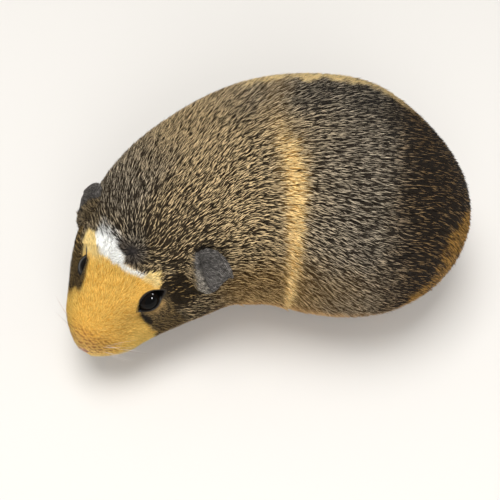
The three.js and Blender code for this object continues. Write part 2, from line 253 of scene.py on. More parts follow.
# Lids: ranges and bells (middle, width) of lidEdge, which is 1 at the opening, and millimetres
lids = {
    "reach": 16, "beyond": 9.0,  # lidEdge says beyond further from the eye than reach
    "thick": 0.4, "rim": 0.3, "rimAt": (1.12, 0.16), "ridge": 0.25, "ridgeAt": (1.2, 0.2),
    "climb": (2.3, 1.15), "drop": (1.02, 0.86), "black": (1.42, 1.2), "sunk": 0.8, "corner": 1.5,
}


def eyeFrame(name):
    # looks is out, up and ahead in the shares of "faces"; long and high lie along and across the almond
    side = 1 if name == "left" else -1
    origin, back, left, up = oneFrame(eye["at"])
    out = left * side
    looks = unit(out * eye["faces"][0] + up * eye["faces"][1] - back * eye["faces"][2])
    centre = origin + back * eye["back"] + out * eye["out"] + up * eye["rise"]
    rear = unit(np.cross(upward, looks)) * side  # along the lids towards the ear
    rise = unit(np.cross(looks, rear)) * side
    rise = rise if rise[2] > 0 else -rise
    tilt = math.radians(eye["tilt"])
    longAxis = rear * math.cos(tilt) + rise * math.sin(tilt)
    highAxis = rise * math.cos(tilt) - rear * math.sin(tilt)
    middle = centre + rear * eye["shift"][name][0] + rise * eye["shift"][name][1]
    ball = centre - looks * eye["depth"]
    return {"middle": middle, "looks": looks, "long": longAxis, "high": highAxis, "ball": ball}


eyes = {name: eyeFrame(name) for name in ("left", "right")}


def lidEdge(points, side):
    # almond: |y| / half height + (x / half length) squared, 1 on the lids' edge and less inside
    place = eyes[side]
    offset = points - place["middle"]
    x, y = dot(offset, place["long"]), dot(offset, place["high"])
    edge = np.abs(y) / eye["half"][1] + (x / eye["half"][0]) ** 2
    return np.where(norm(offset) < lids["reach"], edge, lids["beyond"])


# Muzzle: places in the snout's frame, which starts at the tip of the spine; "fades" are distances back
snout = oneFrame(0)
nose = {"rise": 5.4, "half": (3.8, 2.3), "edge": (1.15, 0.85), "fades": (7, 4.5)}
nostrils = {
    "out": 2.3, "rise": 5.6, "half": (1.5, 0.7), "slant": 0.6, "deep": 1.4,
    "edge": (1.15, 0.6), "fades": (8, 5),
}
lipCleft = {"width": 0.7, "starts": (-1.5, -3.5), "ends": (-4.4, -3), "deep": 0.7, "fades": (9, 6)}
mouth = {
    "rise": -3.4, "reach": 9, "droop": 0.045, "deep": 1.3, "width": 0.75,
    "ends": (1, -2), "fades": (14, 10),
}


def snoutPlace(points):
    # back, out and rise from the tip of the spine
    return [dot(points - snout[0], axis) for axis in snout[1:]]


def muzzleLines(points):
    # how strongly nose leather, nostrils, lip cleft and mouth are felt at each point, from 0 to 1: an oval,
    # a slanted oval on each side, a bell about the middle and a bell about a drooping line
    back, out, rise = snoutPlace(points)
    apart = np.abs(out)
    oval = np.sqrt((out / nose["half"][0]) ** 2 + ((rise - nose["rise"]) / nose["half"][1]) ** 2)
    leather = smooth(*nose["edge"], oval) * smooth(*nose["fades"], back)
    aside = apart - nostrils["out"]
    slanted = (rise - nostrils["rise"]) + nostrils["slant"] * aside
    hole = smooth(*nostrils["edge"], np.hypot(aside / nostrils["half"][0], slanted / nostrils["half"][1]))
    cleft = bump(out, 0, lipCleft["width"]) * smooth(*[nose["rise"] + y for y in lipCleft["starts"]], rise)
    cleft = cleft * smooth(*lipCleft["ends"], rise) * smooth(*lipCleft["fades"], back)
    slit = bump(rise, mouth["rise"] - mouth["droop"] * apart**2, mouth["width"])
    slit = slit * smooth(*[mouth["reach"] + x for x in mouth["ends"]], apart) * smooth(*mouth["fades"], back)
    return leather, hole * smooth(*nostrils["fades"], back), cleft, slit


# Depth of the coat between the skin and the hairs' tips, by the place along the back
coatDepth = {
    "places": [0, 8, 20, 38, 50, 70, 95, 237], "depths": [0.4, 0.8, 1.1, 1.4, 2.4, 3.2, 4.0, 4.3],
    "atEyes": 0.45, "eyesFade": (15, 9), "atNose": 0.15,
}


def depthAt(t, points):
    # straight lines through the depths, less near the eyes and on the nose leather
    depth = np.interp(t, coatDepth["places"], coatDepth["depths"])
    for place in eyes.values():
        near = smooth(*coatDepth["eyesFade"], norm(points - place["middle"]))
        depth = mix(depth, np.minimum(depth, coatDepth["atEyes"]), near)
    return mix(depth, coatDepth["atNose"], muzzleLines(points)[0])


def skinPoint(t, angle):
    # the coat's surface, sunk by the coat's depth, with lids round the eyes and the muzzle's lines cut in
    point, normal, _, _ = surface(t, angle)
    depth = depthAt(t, point)
    point = point - normal * depth[..., None]
    point[..., 2] = np.maximum(point[..., 2], floorLift + depth * 0.5)
    _, hole, cleft, slit = muzzleLines(point)
    cut = hole * nostrils["deep"] + cleft * lipCleft["deep"] + slit * mouth["deep"]
    return withLids(point - normal * cut[..., None])


def lidShell(point, side, thick):
    # how far a point near the almond climbs to lie on a shell just over the eyeball, and where it stands
    place = eyes[side]
    edge = lidEdge(point, side)
    offset = point - place["ball"]
    forward = dot(offset, place["looks"])
    sideways = np.sqrt(np.maximum(dot(offset, offset) - forward**2, 0))
    over = eye["radius"] + thick
    shell = np.sqrt(np.maximum(over**2 - sideways**2, 0))
    climb = np.where(sideways < over, np.maximum(shell - forward, 0), 0) * smooth(*lids["climb"], edge)
    return climb, edge, forward, sideways


def withLids(point):
    # near the almond the skin climbs the shell; inside it drops just under the ball, less at the corners
    for side, place in eyes.items():
        thick = lids["thick"] + lids["rim"] * bump(lidEdge(point, side), *lids["rimAt"])
        climb, edge, forward, sideways = lidShell(point, side, thick)
        ridge = lids["ridge"] * bump(edge, *lids["ridgeAt"]) * (sideways >= eye["radius"])
        ball = np.sqrt(np.maximum(eye["radius"] ** 2 - sideways**2, 0))
        low = np.minimum(forward, np.maximum(ball - lids["sunk"], eye["depth"] - lids["corner"]))
        moved = mix(forward + climb + ridge, low, smooth(*lids["drop"], edge))
        point = point + place["looks"] * (moved - forward)[..., None]
    return point


def circle(count):
    # angles spread evenly once round
    return np.linspace(0, 2 * math.pi, count, endpoint=False)


def spaced(weights, low, high, count):
    # places that crowd where the weight is high: equal shares of its running sum
    x = np.linspace(low, high, 4000)
    total = np.concatenate([[0], np.cumsum((weights(x)[1:] + weights(x)[:-1]) / 2)])
    return np.interp(np.linspace(0, total[-1], count), total, x)


def gridFaces(rows, columns):
    # quads between neighbouring rings, which close on themselves, wound outwards
    r, c = np.meshgrid(np.arange(rows - 1) * columns, np.arange(columns), indexing="ij")
    after = (c + 1) % columns
    return np.stack([r + c, r + after, r + columns + after, r + columns + c], -1).reshape(-1, 4)


def fanFaces(ring, tip, flipped):
    # triangles between a ring and one point
    after = np.roll(ring, -1)
    tips = np.full(len(ring), tip)
    order = [after, ring, tips] if flipped else [ring, after, tips]
    return np.stack(order, -1)


def meshFrom(name, points, quads, triangles=(), fields=None, uv=None):
    # whole arrays straight into the mesh; points come in millimetres
    quads = np.asarray(quads, np.int32).reshape(-1, 4)
    triangles = np.asarray(triangles, np.int32).reshape(-1, 3)
    corners = np.concatenate([quads.ravel(), triangles.ravel()])
    starts = np.concatenate([np.arange(len(quads)) * 4, quads.size + np.arange(len(triangles)) * 3])
    mesh = bpy.data.meshes.new(name)
    mesh.vertices.add(len(points))
    mesh.vertices.foreach_set("co", (points * mm).astype(np.float32).ravel())
    mesh.loops.add(len(corners))
    mesh.loops.foreach_set("vertex_index", corners.astype(np.int32))
    mesh.polygons.add(len(starts))
    mesh.polygons.foreach_set("loop_start", starts.astype(np.int32))
    mesh.update(calc_edges=True)
    mesh.validate()
    mesh.polygons.foreach_set("use_smooth", np.ones(len(mesh.polygons), bool))
    for field, values in (fields or {}).items():
        setField(mesh, field, values)
    if uv is not None:
        layer = mesh.uv_layers.new(name="OFBake")
        layer.uv.foreach_set("vector", uv[corners].astype(np.float32).ravel())
    mesh.update()
    return mesh


def setField(mesh, field, values):
    # one number or three for each point
    if values.ndim == 1:
        layer = mesh.attributes.new(field, "FLOAT", "POINT")
        layer.data.foreach_set("value", values.astype(np.float32))
    else:
        layer = mesh.attributes.new(field, "FLOAT_VECTOR", "POINT")
        layer.data.foreach_set("vector", values.astype(np.float32).ravel())


def getField(mesh, field, width):
    # the same numbers back
    values = np.zeros(len(mesh.vertices) * width, np.float32)
    kind = "value" if width == 1 else "vector"
    mesh.attributes[field].data.foreach_get(kind, values)
    return values if width == 1 else values.reshape(-1, width)


def piece(name, mesh, material, slot):
    # an object at the origin; one with a material is kept, and is told its body; the slot is not used
    shown = bpy.data.objects.new(name, mesh)
    bpy.context.scene.collection.objects.link(shown)
    if material is not None:
        mesh.materials.clear()
        mesh.materials.append(material)
        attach(shown, "root")
    return shown


def capped(grid):
    # rings of points, with a point added in the middle of the first and last ring to close them
    rows, columns = grid.shape[:2]
    points = np.concatenate([grid.reshape(-1, 3), [grid[0].mean(0)], [grid[-1].mean(0)]])
    first = fanFaces(np.arange(columns), rows * columns, True)
    last = fanFaces((rows - 1) * columns + np.arange(columns), rows * columns + 1, False)
    return points, gridFaces(rows, columns), np.concatenate([first, last])


def outward(points, quads, triangles):
    # turns all faces over if the closed form's volume comes out negative
    three = np.concatenate([quads[:, [0, 1, 2]], quads[:, [0, 2, 3]], triangles])
    a, b, c = points[three[:, 0]], points[three[:, 1]], points[three[:, 2]]
    if dot(a, np.cross(b, c)).sum() < 0:
        quads, triangles = quads[:, ::-1], triangles[:, ::-1]
    return points, quads, triangles


def closedMesh(name, grid, tint, bare):
    # bare is how much of the surface shows as skin rather than fur, from just over 0 to 1
    points, quads, triangles = outward(*capped(grid))
    fields = {"tint": capped(tint)[0], "bare": np.full(len(points), float(bare))}
    return meshFrom(name, points, quads, triangles, fields)


# Ears: as in the solids, with a fold in front; u runs from root to tip, v from front edge to hind edge
ears = {
    "roots": {"left": (63.5, 42), "right": (56, 38)},
    "rootDepth": 5, "length": 20, "width": 25, "thickness": 1.5, "points": 54, "lifts": 17, "tilt": 3,
    "droop": 4, "cup": 3, "foldAt": (0.2, 0.2), "foldSlant": 4.2, "foldWidth": 0.09, "foldDeep": 0.8,
    "leaf": (0.2, 0.78, 0.9, 0.62),  # where the sine starts, its span, and the powers inside and outside it
    "cutFrom": (0.4, 1), "cutBack": 0.5,  # the leaf's front side, towards the tip
    "furryEdge": {"left": (-0.06, 0.12), "right": (0.22, 0.34)},  # on the leaf's middle, and its slant
    "rows": 46, "columns": 72,
    "hairsClear": (-1.2, 9),  # millimetres over the leaf where no body hair ends
}


def earFrame(side):
    # root on the body, then the ways along the leaf, to its hind edge and out of its face
    sign = 1 if side == "left" else -1
    at, degrees = ears["roots"][side]
    angle = math.radians(degrees if sign > 0 else 180 - degrees)
    root, normal, _, _ = [row[0] for row in surface(np.array([at]), np.array([angle]))]
    near = surface(np.array([at - 0.5, at + 0.5]), np.array([angle, angle]))[0]
    back = near[1] - near[0]
    back = unit(back - normal * dot(back, normal))
    down = np.cross(back, normal) * sign
    points, lifts = math.radians(ears["points"]), math.radians(ears["lifts"])
    flat = back * math.cos(points) + down * math.sin(points)
    leads = flat * math.cos(lifts) + normal * math.sin(lifts)
    hind = np.cross(normal, flat) * sign
    tilt = math.radians(ears["tilt"]) * sign
    turned = hind * math.cos(tilt) + np.cross(leads, hind) * math.sin(tilt)
    hind = turned + leads * dot(leads, hind) * (1 - math.cos(tilt))
    return root, leads, hind, np.cross(leads, hind) * sign


def earLeaf(u, v):
    # share of the widest, cut back towards the tip on the front side
    start, span, swell, blunt = ears["leaf"]
    full = np.sin(math.pi * (start + span * np.clip(u, 0, 1) ** swell)) ** blunt
    return full * (1 - ears["cutBack"] * smooth(*ears["cutFrom"], u) * (v < 0))


def earReach(u, v):
    # share of the length, also cut back there
    return u * (1 - (0.07 + 0.1 * smooth(0.9, -0.4, v)) * smooth(*ears["cutFrom"], u))


def earFurry(side, u, v):
    # 1 where the body's own hair grows over the leaf, up to a slanting edge
    at, slant = ears["furryEdge"][side]
    return smooth(0.08, -0.08, u - at + slant * v)


def earFold(u, v):
    # how far a place lies behind the fold that slants from the hollow to the front edge, 1 being about 9 mm
    return (v - ears["foldAt"][1] + ears["foldSlant"] * (u - ears["foldAt"][0])) / 2


def earHang(u, v, leaf):
    # drop of the leaf: the droop grows with u squared, the cup with v squared
    return ears["droop"] * np.maximum(u, 0) ** 2 + ears["cup"] * leaf * v * v


def earPoint(side, u, v, out):
    # leaf less its hang and the fold's groove, with a slight wave; out is millimetres off the leaf's middle
    root, leads, hind, face = earFrame(side)
    leaf = earLeaf(u, v)
    fold = ears["foldDeep"] * bump(earFold(u, v), 0, ears["foldWidth"]) * smooth(0.8, 0.45, u)
    wave = 0.25 * np.sin(5 * v + 3 * u) * smooth(0, 0.5, u)
    off = (out - earHang(u, v, leaf) - fold + wave)[..., None]
    far, wide = earReach(u, v) * ears["length"], ears["width"] / 2 * leaf * v
    return root + leads * far[..., None] + hind * wide[..., None] + face * off


def earGrid(side):
    # rings round the leaf's thin oval section, their colours and how furry they are
    u = mix(-ears["rootDepth"] / ears["length"], 1, np.sin(np.linspace(0, 1, ears["rows"]) * math.pi / 2))
    u, turn = np.meshgrid(u, circle(ears["columns"]), indexing="ij")
    thick = ears["thickness"] / 2 * (1 - 0.35 * np.maximum(u, 0)) * smooth(1.02, 0.86, u) ** 0.5
    v, out = np.cos(turn), thick * np.sign(np.sin(turn)) * np.abs(np.sin(turn)) ** 0.6
    # slate, with painted shade in the hollow and along the fold's crease, and darker along the rim
    behind = earFold(u, v)
    lobe = smooth(0, -0.12, behind) * smooth(0.3, -0.1, v)
    dark = 0.5 * bump(behind, 0, 0.1) * smooth(0.7, 0.5, u) + 0.3 * smooth(0.88, 1, u)
    dark = dark + 0.5 * bump(u, 0.28, 0.16) * bump(v, 0.55, 0.4)
    tint = mix(hues["slate"], hues["slateLight"], lobe[..., None]) * (1 - dark)[..., None]
    furry = earFurry(side, u, v)
    return earPoint(side, u, v, out), mix(tint, hues["brown"], furry[..., None]), furry


# Feet: soles and toes as in the solids, rounder; a toe is its place out, its length and its turn in degrees
feet = {
    "forefoot": {
        "at": 72, "out": 19, "splay": 6, "sole": (13, 3.9, 4.3, 1.25), "toeRadius": 1.7, "claw": (4, 0.8),
        "toes": [(-4.2, 5.5, -12), (-1.4, 7.5, -4), (1.5, 7.5, 5), (4.2, 6, 16)],
    },
    "hindfoot": {
        "at": 160, "out": 37, "splay": 8, "sole": (27, 4.2, 4.8, 1.2), "toeRadius": 2.1, "claw": (5.5, 1),
        "toes": [(-4, 8, -8), (0, 10, 0), (4, 8, 9)],
    },
}
clawTip = 0.35
bars = {"sole": (32, 24), "toe": (24, 22), "claw": (16, 14)}  # points round and rings along each kind


def footFrame(foot, sign):
    # a point on the floor with the ways ahead, out and up; splay turns the toes outwards
    origin, back, _, _ = oneFrame(foot["at"])
    level = unit(back * [1, 1, 0])
    out = np.cross(level, upward) * sign
    origin = origin * [1, 1, 0] + out * foot["out"]
    swing = -math.radians(foot["splay"]) * sign
    c, s = math.cos(swing), math.sin(swing)
    spin = np.array([[c, -s, 0], [s, c, 0], [0, 0, 1]])
    return origin, -(spin @ level), spin @ out


def barGrid(path, radius, wide, columns, rows):
    # rings round the parabola through three points, never below the floor
    u = np.linspace(0, 1, rows)
    a, b, c = [np.array(p, float) for p in path]
    points = np.stack([(1 - x) * (1 - 2 * x) * a + 4 * x * (1 - x) * b + x * (2 * x - 1) * c for x in u])
    ahead = unit(np.gradient(points, axis=0))
    side = unit(np.cross(upward, ahead))
    up = np.cross(ahead, side)
    turn = circle(columns)[None, :, None]
    size = radius(u)[:, None, None]
    grid = points[:, None] + side[:, None] * wide * size * np.cos(turn) + up[:, None] * size * np.sin(turn)
    grid[..., 2] = np.maximum(grid[..., 2], 0)
    return grid


def toeAt(frame, toe, forward, rise):
    # place on the toe's slanting line at a height over the floor
    origin, ahead, out = frame
    aside = toe[0] + forward * math.tan(math.radians(toe[2]))
    return origin + ahead * forward + out * aside + upward * rise


def footGrids(foot, sign):
    # a flat bar for the sole, and a bent one with knuckles for each toe
    frame = footFrame(foot, sign)
    origin, ahead, _ = frame
    length, high, radius, wide = foot["sole"]
    r = foot["toeRadius"]
    heel, front = origin - ahead * length + upward * high, origin + upward * high * 0.8
    blunt = lambda size, least: lambda u: size * np.sqrt(np.maximum(1 - np.abs(2 * u - 1) ** 6, least))
    knuckles = lambda u: blunt(r, 0.04)(u) * (1 + 0.08 * np.cos(u * 4 * math.pi))
    grids = [barGrid([heel, (heel + front) / 2, front], blunt(radius, 0.02), wide, *bars["sole"])]
    for toe in foot["toes"]:
        bends = [(-r * 1.6, high * 0.85), (toe[1] / 2, r * 1.7), (toe[1], r * 0.9)]
        grids.append(barGrid([toeAt(frame, toe, *bend) for bend in bends], knuckles, 1, *bars["toe"]))
    return grids


def clawGrids(foot, sign):
    # bars that start in the toe's end and run down to a fine tip
    frame = footFrame(foot, sign)
    length, radius = foot["claw"]
    reach = length + 0.8
    rises = (foot["toeRadius"] * 0.9, foot["toeRadius"] * 0.95, clawTip)
    tapered = lambda u: mix(radius, clawTip * 0.6, u**1.5)
    grids = []
    for toe in foot["toes"]:
        start = toe[1] - 0.6
        path = [toeAt(frame, toe, start + reach * k / 2, rises[k]) for k in range(3)]
        grids.append(barGrid(path, tapered, 0.8, *bars["claw"]))
    return grids


# Grid of the skin: how much closer its rows lie over the snout and between nose and ears, and its columns at
# the heights of the eyes
net = {
    "rows": 300, "columns": 256, "gap": 0.03, "ends": 0.7, "snout": 1.2, "eyes": 2.6, "eyesFrom": (18, 24),
    "eyesTo": (50, 42), "eyeHeights": (46, 134), "heightsWidth": 13, "heights": 2.2,
}


def skinGrid():
    # rows crowd by one over the root of the distance to either end, columns by two bells
    length, left, right = body["length"], *net["eyeHeights"]
    ends = lambda t: 1 / np.sqrt(np.maximum(t, 0.15) / 17) + 1 / np.sqrt(np.maximum(length - t, 0.3) / 60)
    face = lambda t: net["eyes"] * smooth(*net["eyesTo"], t) * smooth(*net["eyesFrom"], t)
    rows = lambda t: ends(t) * net["ends"] + face(t) + net["snout"] * smooth(*net["eyesFrom"][::-1], t)
    bell = lambda d, at: net["heights"] * bump(d, at, net["heightsWidth"])
    t = spaced(rows, net["gap"], length - net["gap"], net["rows"])
    degrees = spaced(lambda d: 1 + bell(d, left) + bell(d, right), 0, 360, net["columns"] + 1)[:-1]
    return np.meshgrid(t, np.radians(degrees), indexing="ij")


def united(base, others):
    # Boolean unions one after another, which keep the fields of both
    shown = piece("joining", base, None, None)
    for mesh in others:
        other = piece("joined", mesh, None, None)
        joint = shown.modifiers.new("union", "BOOLEAN")
        joint.operation, joint.object, joint.solver = "UNION", other, "MANIFOLD"
        result = bpy.data.meshes.new_from_object(shown.evaluated_get(bpy.context.evaluated_depsgraph_get()))
        shown.modifiers.remove(joint)
        shown.data = result
        bpy.data.objects.remove(other)
    result = shown.data
    bpy.data.objects.remove(shown)
    return result


def bodyMesh():
    # the coat's markings on the skin, black lids, a pink nose leather and painted shade in nostrils, mouth
    # and lip cleft
    t, angle = skinGrid()
    points, quads, triangles = outward(*capped(skinPoint(t, angle)))
    place = surface(t, angle)[0].reshape(-1, 3)
    deep, tip, share = markings(t.ravel(), angle.ravel(), place)
    tint = mix(deep, tip, (0.04 + 0.3 * share)[:, None])  # mostly the deep colour, which shows between hairs
    leather, hole, cleft, slit = muzzleLines(place)
    lidded = np.max([smooth(*lids["black"], lidEdge(points[:-2], side)) for side in eyes], 0)
    # painted shade: the nostrils' holes near black, the mouth slit and lip cleft darkened
    lips = slit * 0.85 + cleft * 0.4
    for mask, hue in ((leather, "nose"), (hole, "lid"), (lips, "muzzleDeep"), (lidded, "lid")):
        tint = mix(tint, hues[hue], np.clip(mask, 0, 1)[:, None])
    bare = np.maximum(np.maximum(leather, lidded), 0.02)
    ends = [0, -1]
    fields = {"tint": np.concatenate([tint, tint[ends]]), "bare": np.concatenate([bare, bare[ends]])}
    return meshFrom("body", points, quads, triangles, fields)


def mended(mesh):
    # points made where two forms cross have no colour yet: they take the mean of the neighbours that have one
    tint, bare = getField(mesh, "tint", 3), getField(mesh, "bare", 1)
    ends = np.zeros(len(mesh.edges) * 2, np.int32)
    mesh.edges.foreach_get("vertices", ends)
    ends = ends.reshape(-1, 2)
    for _ in range(8):
        known = bare > 0
        total, count = np.zeros((len(tint), 4)), np.zeros(len(tint))
        for here, there in (ends.T, ends.T[::-1]):
            np.add.at(total, here, np.column_stack([tint, bare])[there] * known[there, None])
            np.add.at(count, here, known[there])
        mend = ~known & (count > 0)
        means = total[mend] / count[mend, None]
        tint[mend], bare[mend] = means[:, :3], means[:, 3]
    for field in ("tint", "bare"):
        mesh.attributes.remove(mesh.attributes[field])
    setField(mesh, "tint", tint)
    setField(mesh, "bare", bare)
    return mesh


def footMeshes():
    # each foot is its sole and toes joined
    meshes = []
    for name, foot in feet.items():
        for sign in (1, -1):
            parts = [closedMesh(name, grid, 0 * grid + hues["sole"], 0.5) for grid in footGrids(foot, sign)]
            meshes.append(united(parts[0], parts[1:]))
    return meshes


# Colours as displayed, turned into linear light values
displayed = {
    "black": (20, 17, 15), "brown": (38, 31, 24), "agouti": (232, 203, 154), "greyTip": (206, 190, 164),
    "flankDeep": (92, 68, 36), "flank": (210, 174, 114), "bandDeep": (188, 146, 82), "band": (252, 222, 158),
    "hemDeep": (76, 54, 24), "hem": (206, 156, 78), "rumpTip": (190, 152, 102),
    "bellyDeep": (160, 118, 70), "belly": (214, 176, 124),
    "faceDeep": (198, 138, 44), "face": (255, 222, 124),
    "creamDeep": (218, 188, 118), "cream": (252, 231, 168),
    "whiteDeep": (236, 236, 230), "white": (254, 254, 250),
    "whorl": (62, 58, 56), "whorlDeep": (34, 30, 28), "whorlTip": (138, 126, 112),
    "muzzleDeep": (132, 84, 60), "fleck": (168, 104, 50), "lip": (232, 208, 170), "nose": (160, 116, 94),
    "slate": (76, 73, 70), "slateLight": (106, 101, 93), "lid": (16, 13, 12),
    "sole": (74, 62, 54), "clawRoot": (88, 66, 56), "clawTip": (196, 178, 156),
}
hues = {name: linear(*shade) for name, shade in displayed.items()}

# Lines that the markings follow: pairs of degrees (round from the left side over the back) and millimetres
# from the nose tip, or a strength; in the last three the millimetres come first
lines = {
    "band": [
        (-30, 136), (0, 142), (22, 144.2), (38, 145.2), (52, 145.3), (67, 143.8), (77, 141.5), (90, 138),
    ],
    "bandStrength": [(-60, 0.5), (60, 1), (70, 0.9), (77, 0.6), (84, 0.22), (92, 0.08), (180, 0.25)],
    "hem": [(-90, 188), (-20, 200), (-10, 205), (10, 212), (30, 216), (40, 219), (48, 225), (58, 240)],
    "face": [
        (-90, 18), (-20, 24), (0, 27), (15, 26), (30, 26.3), (38, 27.5), (43, 36), (48, 44.3), (54, 47),
        (59, 48.3), (63, 46.3), (67, 43.5), (72, 42), (79, 42.2), (84, 41), (90, 40), (104, 42.5), (112, 45),
        (124, 48.5), (134, 48), (142, 46), (149, 43), (155, 26), (180, 22), (270, 18),
    ],
    "blazeFront": [(84, 41.4), (90, 39.6), (96, 39.8), (102, 40.6), (108, 42.3), (114, 44.2), (122, 46.5)],
    "blazeRear": [(84, 43), (90, 44.8), (95, 46.2), (100, 47.4), (106, 48.4), (112, 49.4), (122, 50.5)],
    "streak": [(64, 43), (68, 42), (74, 41), (82, 40.6)],
    "paleShare": [
        (40, 0.2), (58, 0.14), (72, 0.25), (90, 0.41), (100, 0.48), (135, 0.47), (155, 0.39), (192, 0.32),
        (214, 0.14),
    ],
    # line of the painted shadow along the near ear's hind edge
    "paintedEarShadow": [(68, 49), (74, 48.5), (79, 47.5), (82, 44.5), (85, 38)],
    "underEye": [(28, 33), (32, 27.5), (38, 31)],
}


def along(x, pairs):
    # straight lines through (place, value) pairs
    return np.interp(x, *np.array(pairs, float).T)


def inside(x, low, high, soft):
    # 1 between low and high, fading over soft on either side of both
    return smooth(low - soft, low + soft, x) * smooth(high + soft, high - soft, x)


def markings(t, angle, points):
    # deep colour, tip colour and share of pale hairs at each place, painted region over region
    d = (np.degrees(angle) + 90) % 360 - 90  # from -90 under the belly, over the left side and the back
    fine, broad, patch = waves(points, 7, 31), waves(points, 22, 32), waves(points, 45, 36)
    # wandering places along and round, so that edges aren't straight
    at = t + 0.8 * fine
    far = at + 2.5 * smooth(60, 110, t) * broad
    around = d + 1.5 * waves(points, 9, 33) + mix(0.5, 3, smooth(60, 110, t)) * waves(points, 26, 34)
    paint = {
        "deep": np.tile(hues["brown"], (len(t), 1)),
        "tip": np.tile(hues["agouti"], (len(t), 1)),
        "share": along(far, lines["paleShare"]),
    }

    def over(mask, deep, tip, share):
        # mixes a region's colours and share in where its mask is 1
        paint["deep"] = mix(paint["deep"], hues[deep], mask[:, None])
        paint["tip"] = mix(paint["tip"], hues[tip], mask[:, None])
        paint["share"] = mix(paint["share"], share, mask)

    block = lambda low, high, soft, start, end: inside(at, low, high, soft) * inside(around, start, end, 4)
    over(smooth(125, 175, far), "brown", "greyTip", paint["share"])
    over(smooth(80, 104, around) * smooth(100, 70, far), "brown", "greyTip", paint["share"])
    over(smooth(84, 108, around) * smooth(112, 150, far) * 0.9, "black", "greyTip", paint["share"] * 0.5)
    over(smooth(180, 206, far), "black", "rumpTip", 0.1)
    low = smooth(34, 10, around) + smooth(150, 174, around)
    over(low * smooth(52, 78, at) * smooth(205, 140, far) * 0.75, "flankDeep", "flank", 0.3)
    # pale band round the middle
    band = bump(at, along(around, lines["band"]), 4.8) * along(around, lines["bandStrength"])
    over(np.clip(band * 1.3, 0, 1), "bandDeep", "band", 0.7)
    # orange hem low on the rump, and pale gold along the far flank
    hem = far + 2 * fine - along(around, lines["hem"])
    over(smooth(-3, 3, hem) * (around < 90), "hemDeep", "hem", 0.46)
    strip = inside(at + 6 * patch, 131, 201, 14) * smooth(119, 127, d + 2 * fine + 2 * broad)
    strip = strip * smooth(198, 168, d + 9 * patch + 3 * fine)
    over(np.clip(strip * (0.95 + 0.15 * fine), 0, 1), "flankDeep", "band", 0.97)
    over(smooth(-14, -34, around) + smooth(194, 214, around), "bellyDeep", "belly", 0.7)
    # dark head behind the face, blackest between eye and ear, with a painted shadow along the ear's hind edge
    over(smooth(64, 54, at) * smooth(-20, 0, around) * 0.6, "black", "agouti", 0.26)
    over(block(38, 56, 2.5, 20, 49), "black", "flank", 0.05)
    # painted shadow: black where the near ear's hind edge meets the coat
    shade = bump(d, along(t, lines["paintedEarShadow"]), 2.6)
    over(inside(t, 71, 87, 3) * shade * 0.85, "black", "brown", 0.15)
    # orange face as far as a wandering edge, cream along it on both sides of the crown
    orange = smooth(1, -1, t + 0.7 * fine - along(around, lines["face"]))
    over(orange, "faceDeep", "face", 0.66)
    over(smooth(39.5, 43, at) * inside(around, 48, 67, 3) * orange, "creamDeep", "cream", 0.7)
    over(smooth(36, 41, at) * smooth(94, 106, around) * orange * 0.8, "creamDeep", "cream", 0.75)
    # painted light: every tuft on the near cheek gets the pale face tip, which brightens that side
    over(inside(at, 8, 25, 4) * smooth(34, 12, around) * orange * 0.9, "faceDeep", "face", 1)
    # white blaze on the crown's far side, streaks behind it, and a thin pale edge in front of the crown
    front, rear = at - along(around, lines["blazeFront"]), at - along(around, lines["blazeRear"])
    fan = smooth(-1, 1, front) * smooth(8, 1, rear) * inside(d, 90, 120, 5)
    over(fan, "brown", "white", mix(0.7, 0.3, smooth(0, 6, rear)))
    blaze = smooth(-0.9, 0.9, front) * smooth(1.2, -1.2, rear) * inside(around, 85, 118, 2.5)
    over(blaze, "whiteDeep", "white", 0.95)
    streak = bump(t + 0.4 * fine, along(d, lines["streak"]), 1) * inside(d, 65, 87, 2)
    over(np.clip(streak * 1.25, 0, 1), "whiteDeep", "white", 0.85)
    # dark crown round the whorl, drawn out behind it, its middle slate grey
    crown = np.hypot(t - whorl["t"], np.radians(d - whorl["degrees"]) * whorl["girth"])
    clear = (1 - np.clip(blaze * 1.6, 0, 1)) * (1 - np.clip(streak * 1.3, 0, 1)) * (1 - orange)
    over(smooth(9.5, 5, crown) * clear, "whorlDeep", "whorlTip", 0.4)
    over(smooth(50, 53, t) * smooth(72, 55, far) * inside(around, 79, 97, 4) * 0.8, "black", "greyTip", 0.22)
    over(smooth(4.2, 1.5, crown) * 0.9, "whorl", "whorl", 0.5)
    # dark patches round the far eye, and the marks under the near one
    over(block(24, 37, 1.6, 116, 205), "black", "flank", 0.16)
    over(smooth(1.65, 1.35, lidEdge(points, "right")), "black", "black", 0.1)
    over(block(22, 58, 3, 151, 200), "black", "flank", 0.2)
    over(block(26, 40, 1.6, -16, 30) * (1 - orange), "black", "flank", 0.26)
    over(bump(t, 27.2, 1.2) * inside(d, 19, 37, 3) * 0.9, "black", "brown", 0.1)
    over(inside(t, 28.5, 37.5, 1.5) * bump(d, along(t, lines["underEye"]), 3.2), "flankDeep", "flank", 0.8)
    # brown flecks on the muzzle, pale lips and chin
    back, _, rise = snoutPlace(points)
    flecks = smooth(0, 0.65, waves(points, 2.1, 91)) * smooth(14, 6, t) * smooth(0, 5, rise)
    over(smooth(9, 1, t) * 0.6, "creamDeep", "cream", 0.6)
    over(flecks * 0.85, "muzzleDeep", "fleck", 0.5)
    over(smooth(2, -4, rise) * smooth(16, 8, back) * 0.85, "creamDeep", "lip", 0.8)
    return paint["deep"], paint["tip"], np.clip(paint["share"], 0, 1)


# Lie of the coat: back along the body and down a little, out from the crown's whorl, round the eyes and
# down the rump
whorl = {"t": 48.8, "degrees": 84, "girth": 33, "spread": (17, 28), "edge": (10.5, 8)}
whorlPlace = surface(np.array([whorl["t"]]), np.radians([whorl["degrees"]]))[0]
lying = {
    "fall": (0.4, 0.16), "fallFades": (14, 60),  # share down the sides at the nose and on the body
    "eyes": 0.9, "eyesWidth": 11, "rump": 0.95, "rumpFades": (196, 230),
}


def flattened(v, normal):
    # v less its part along the normal
    return v - normal * dot(v, normal)[..., None]


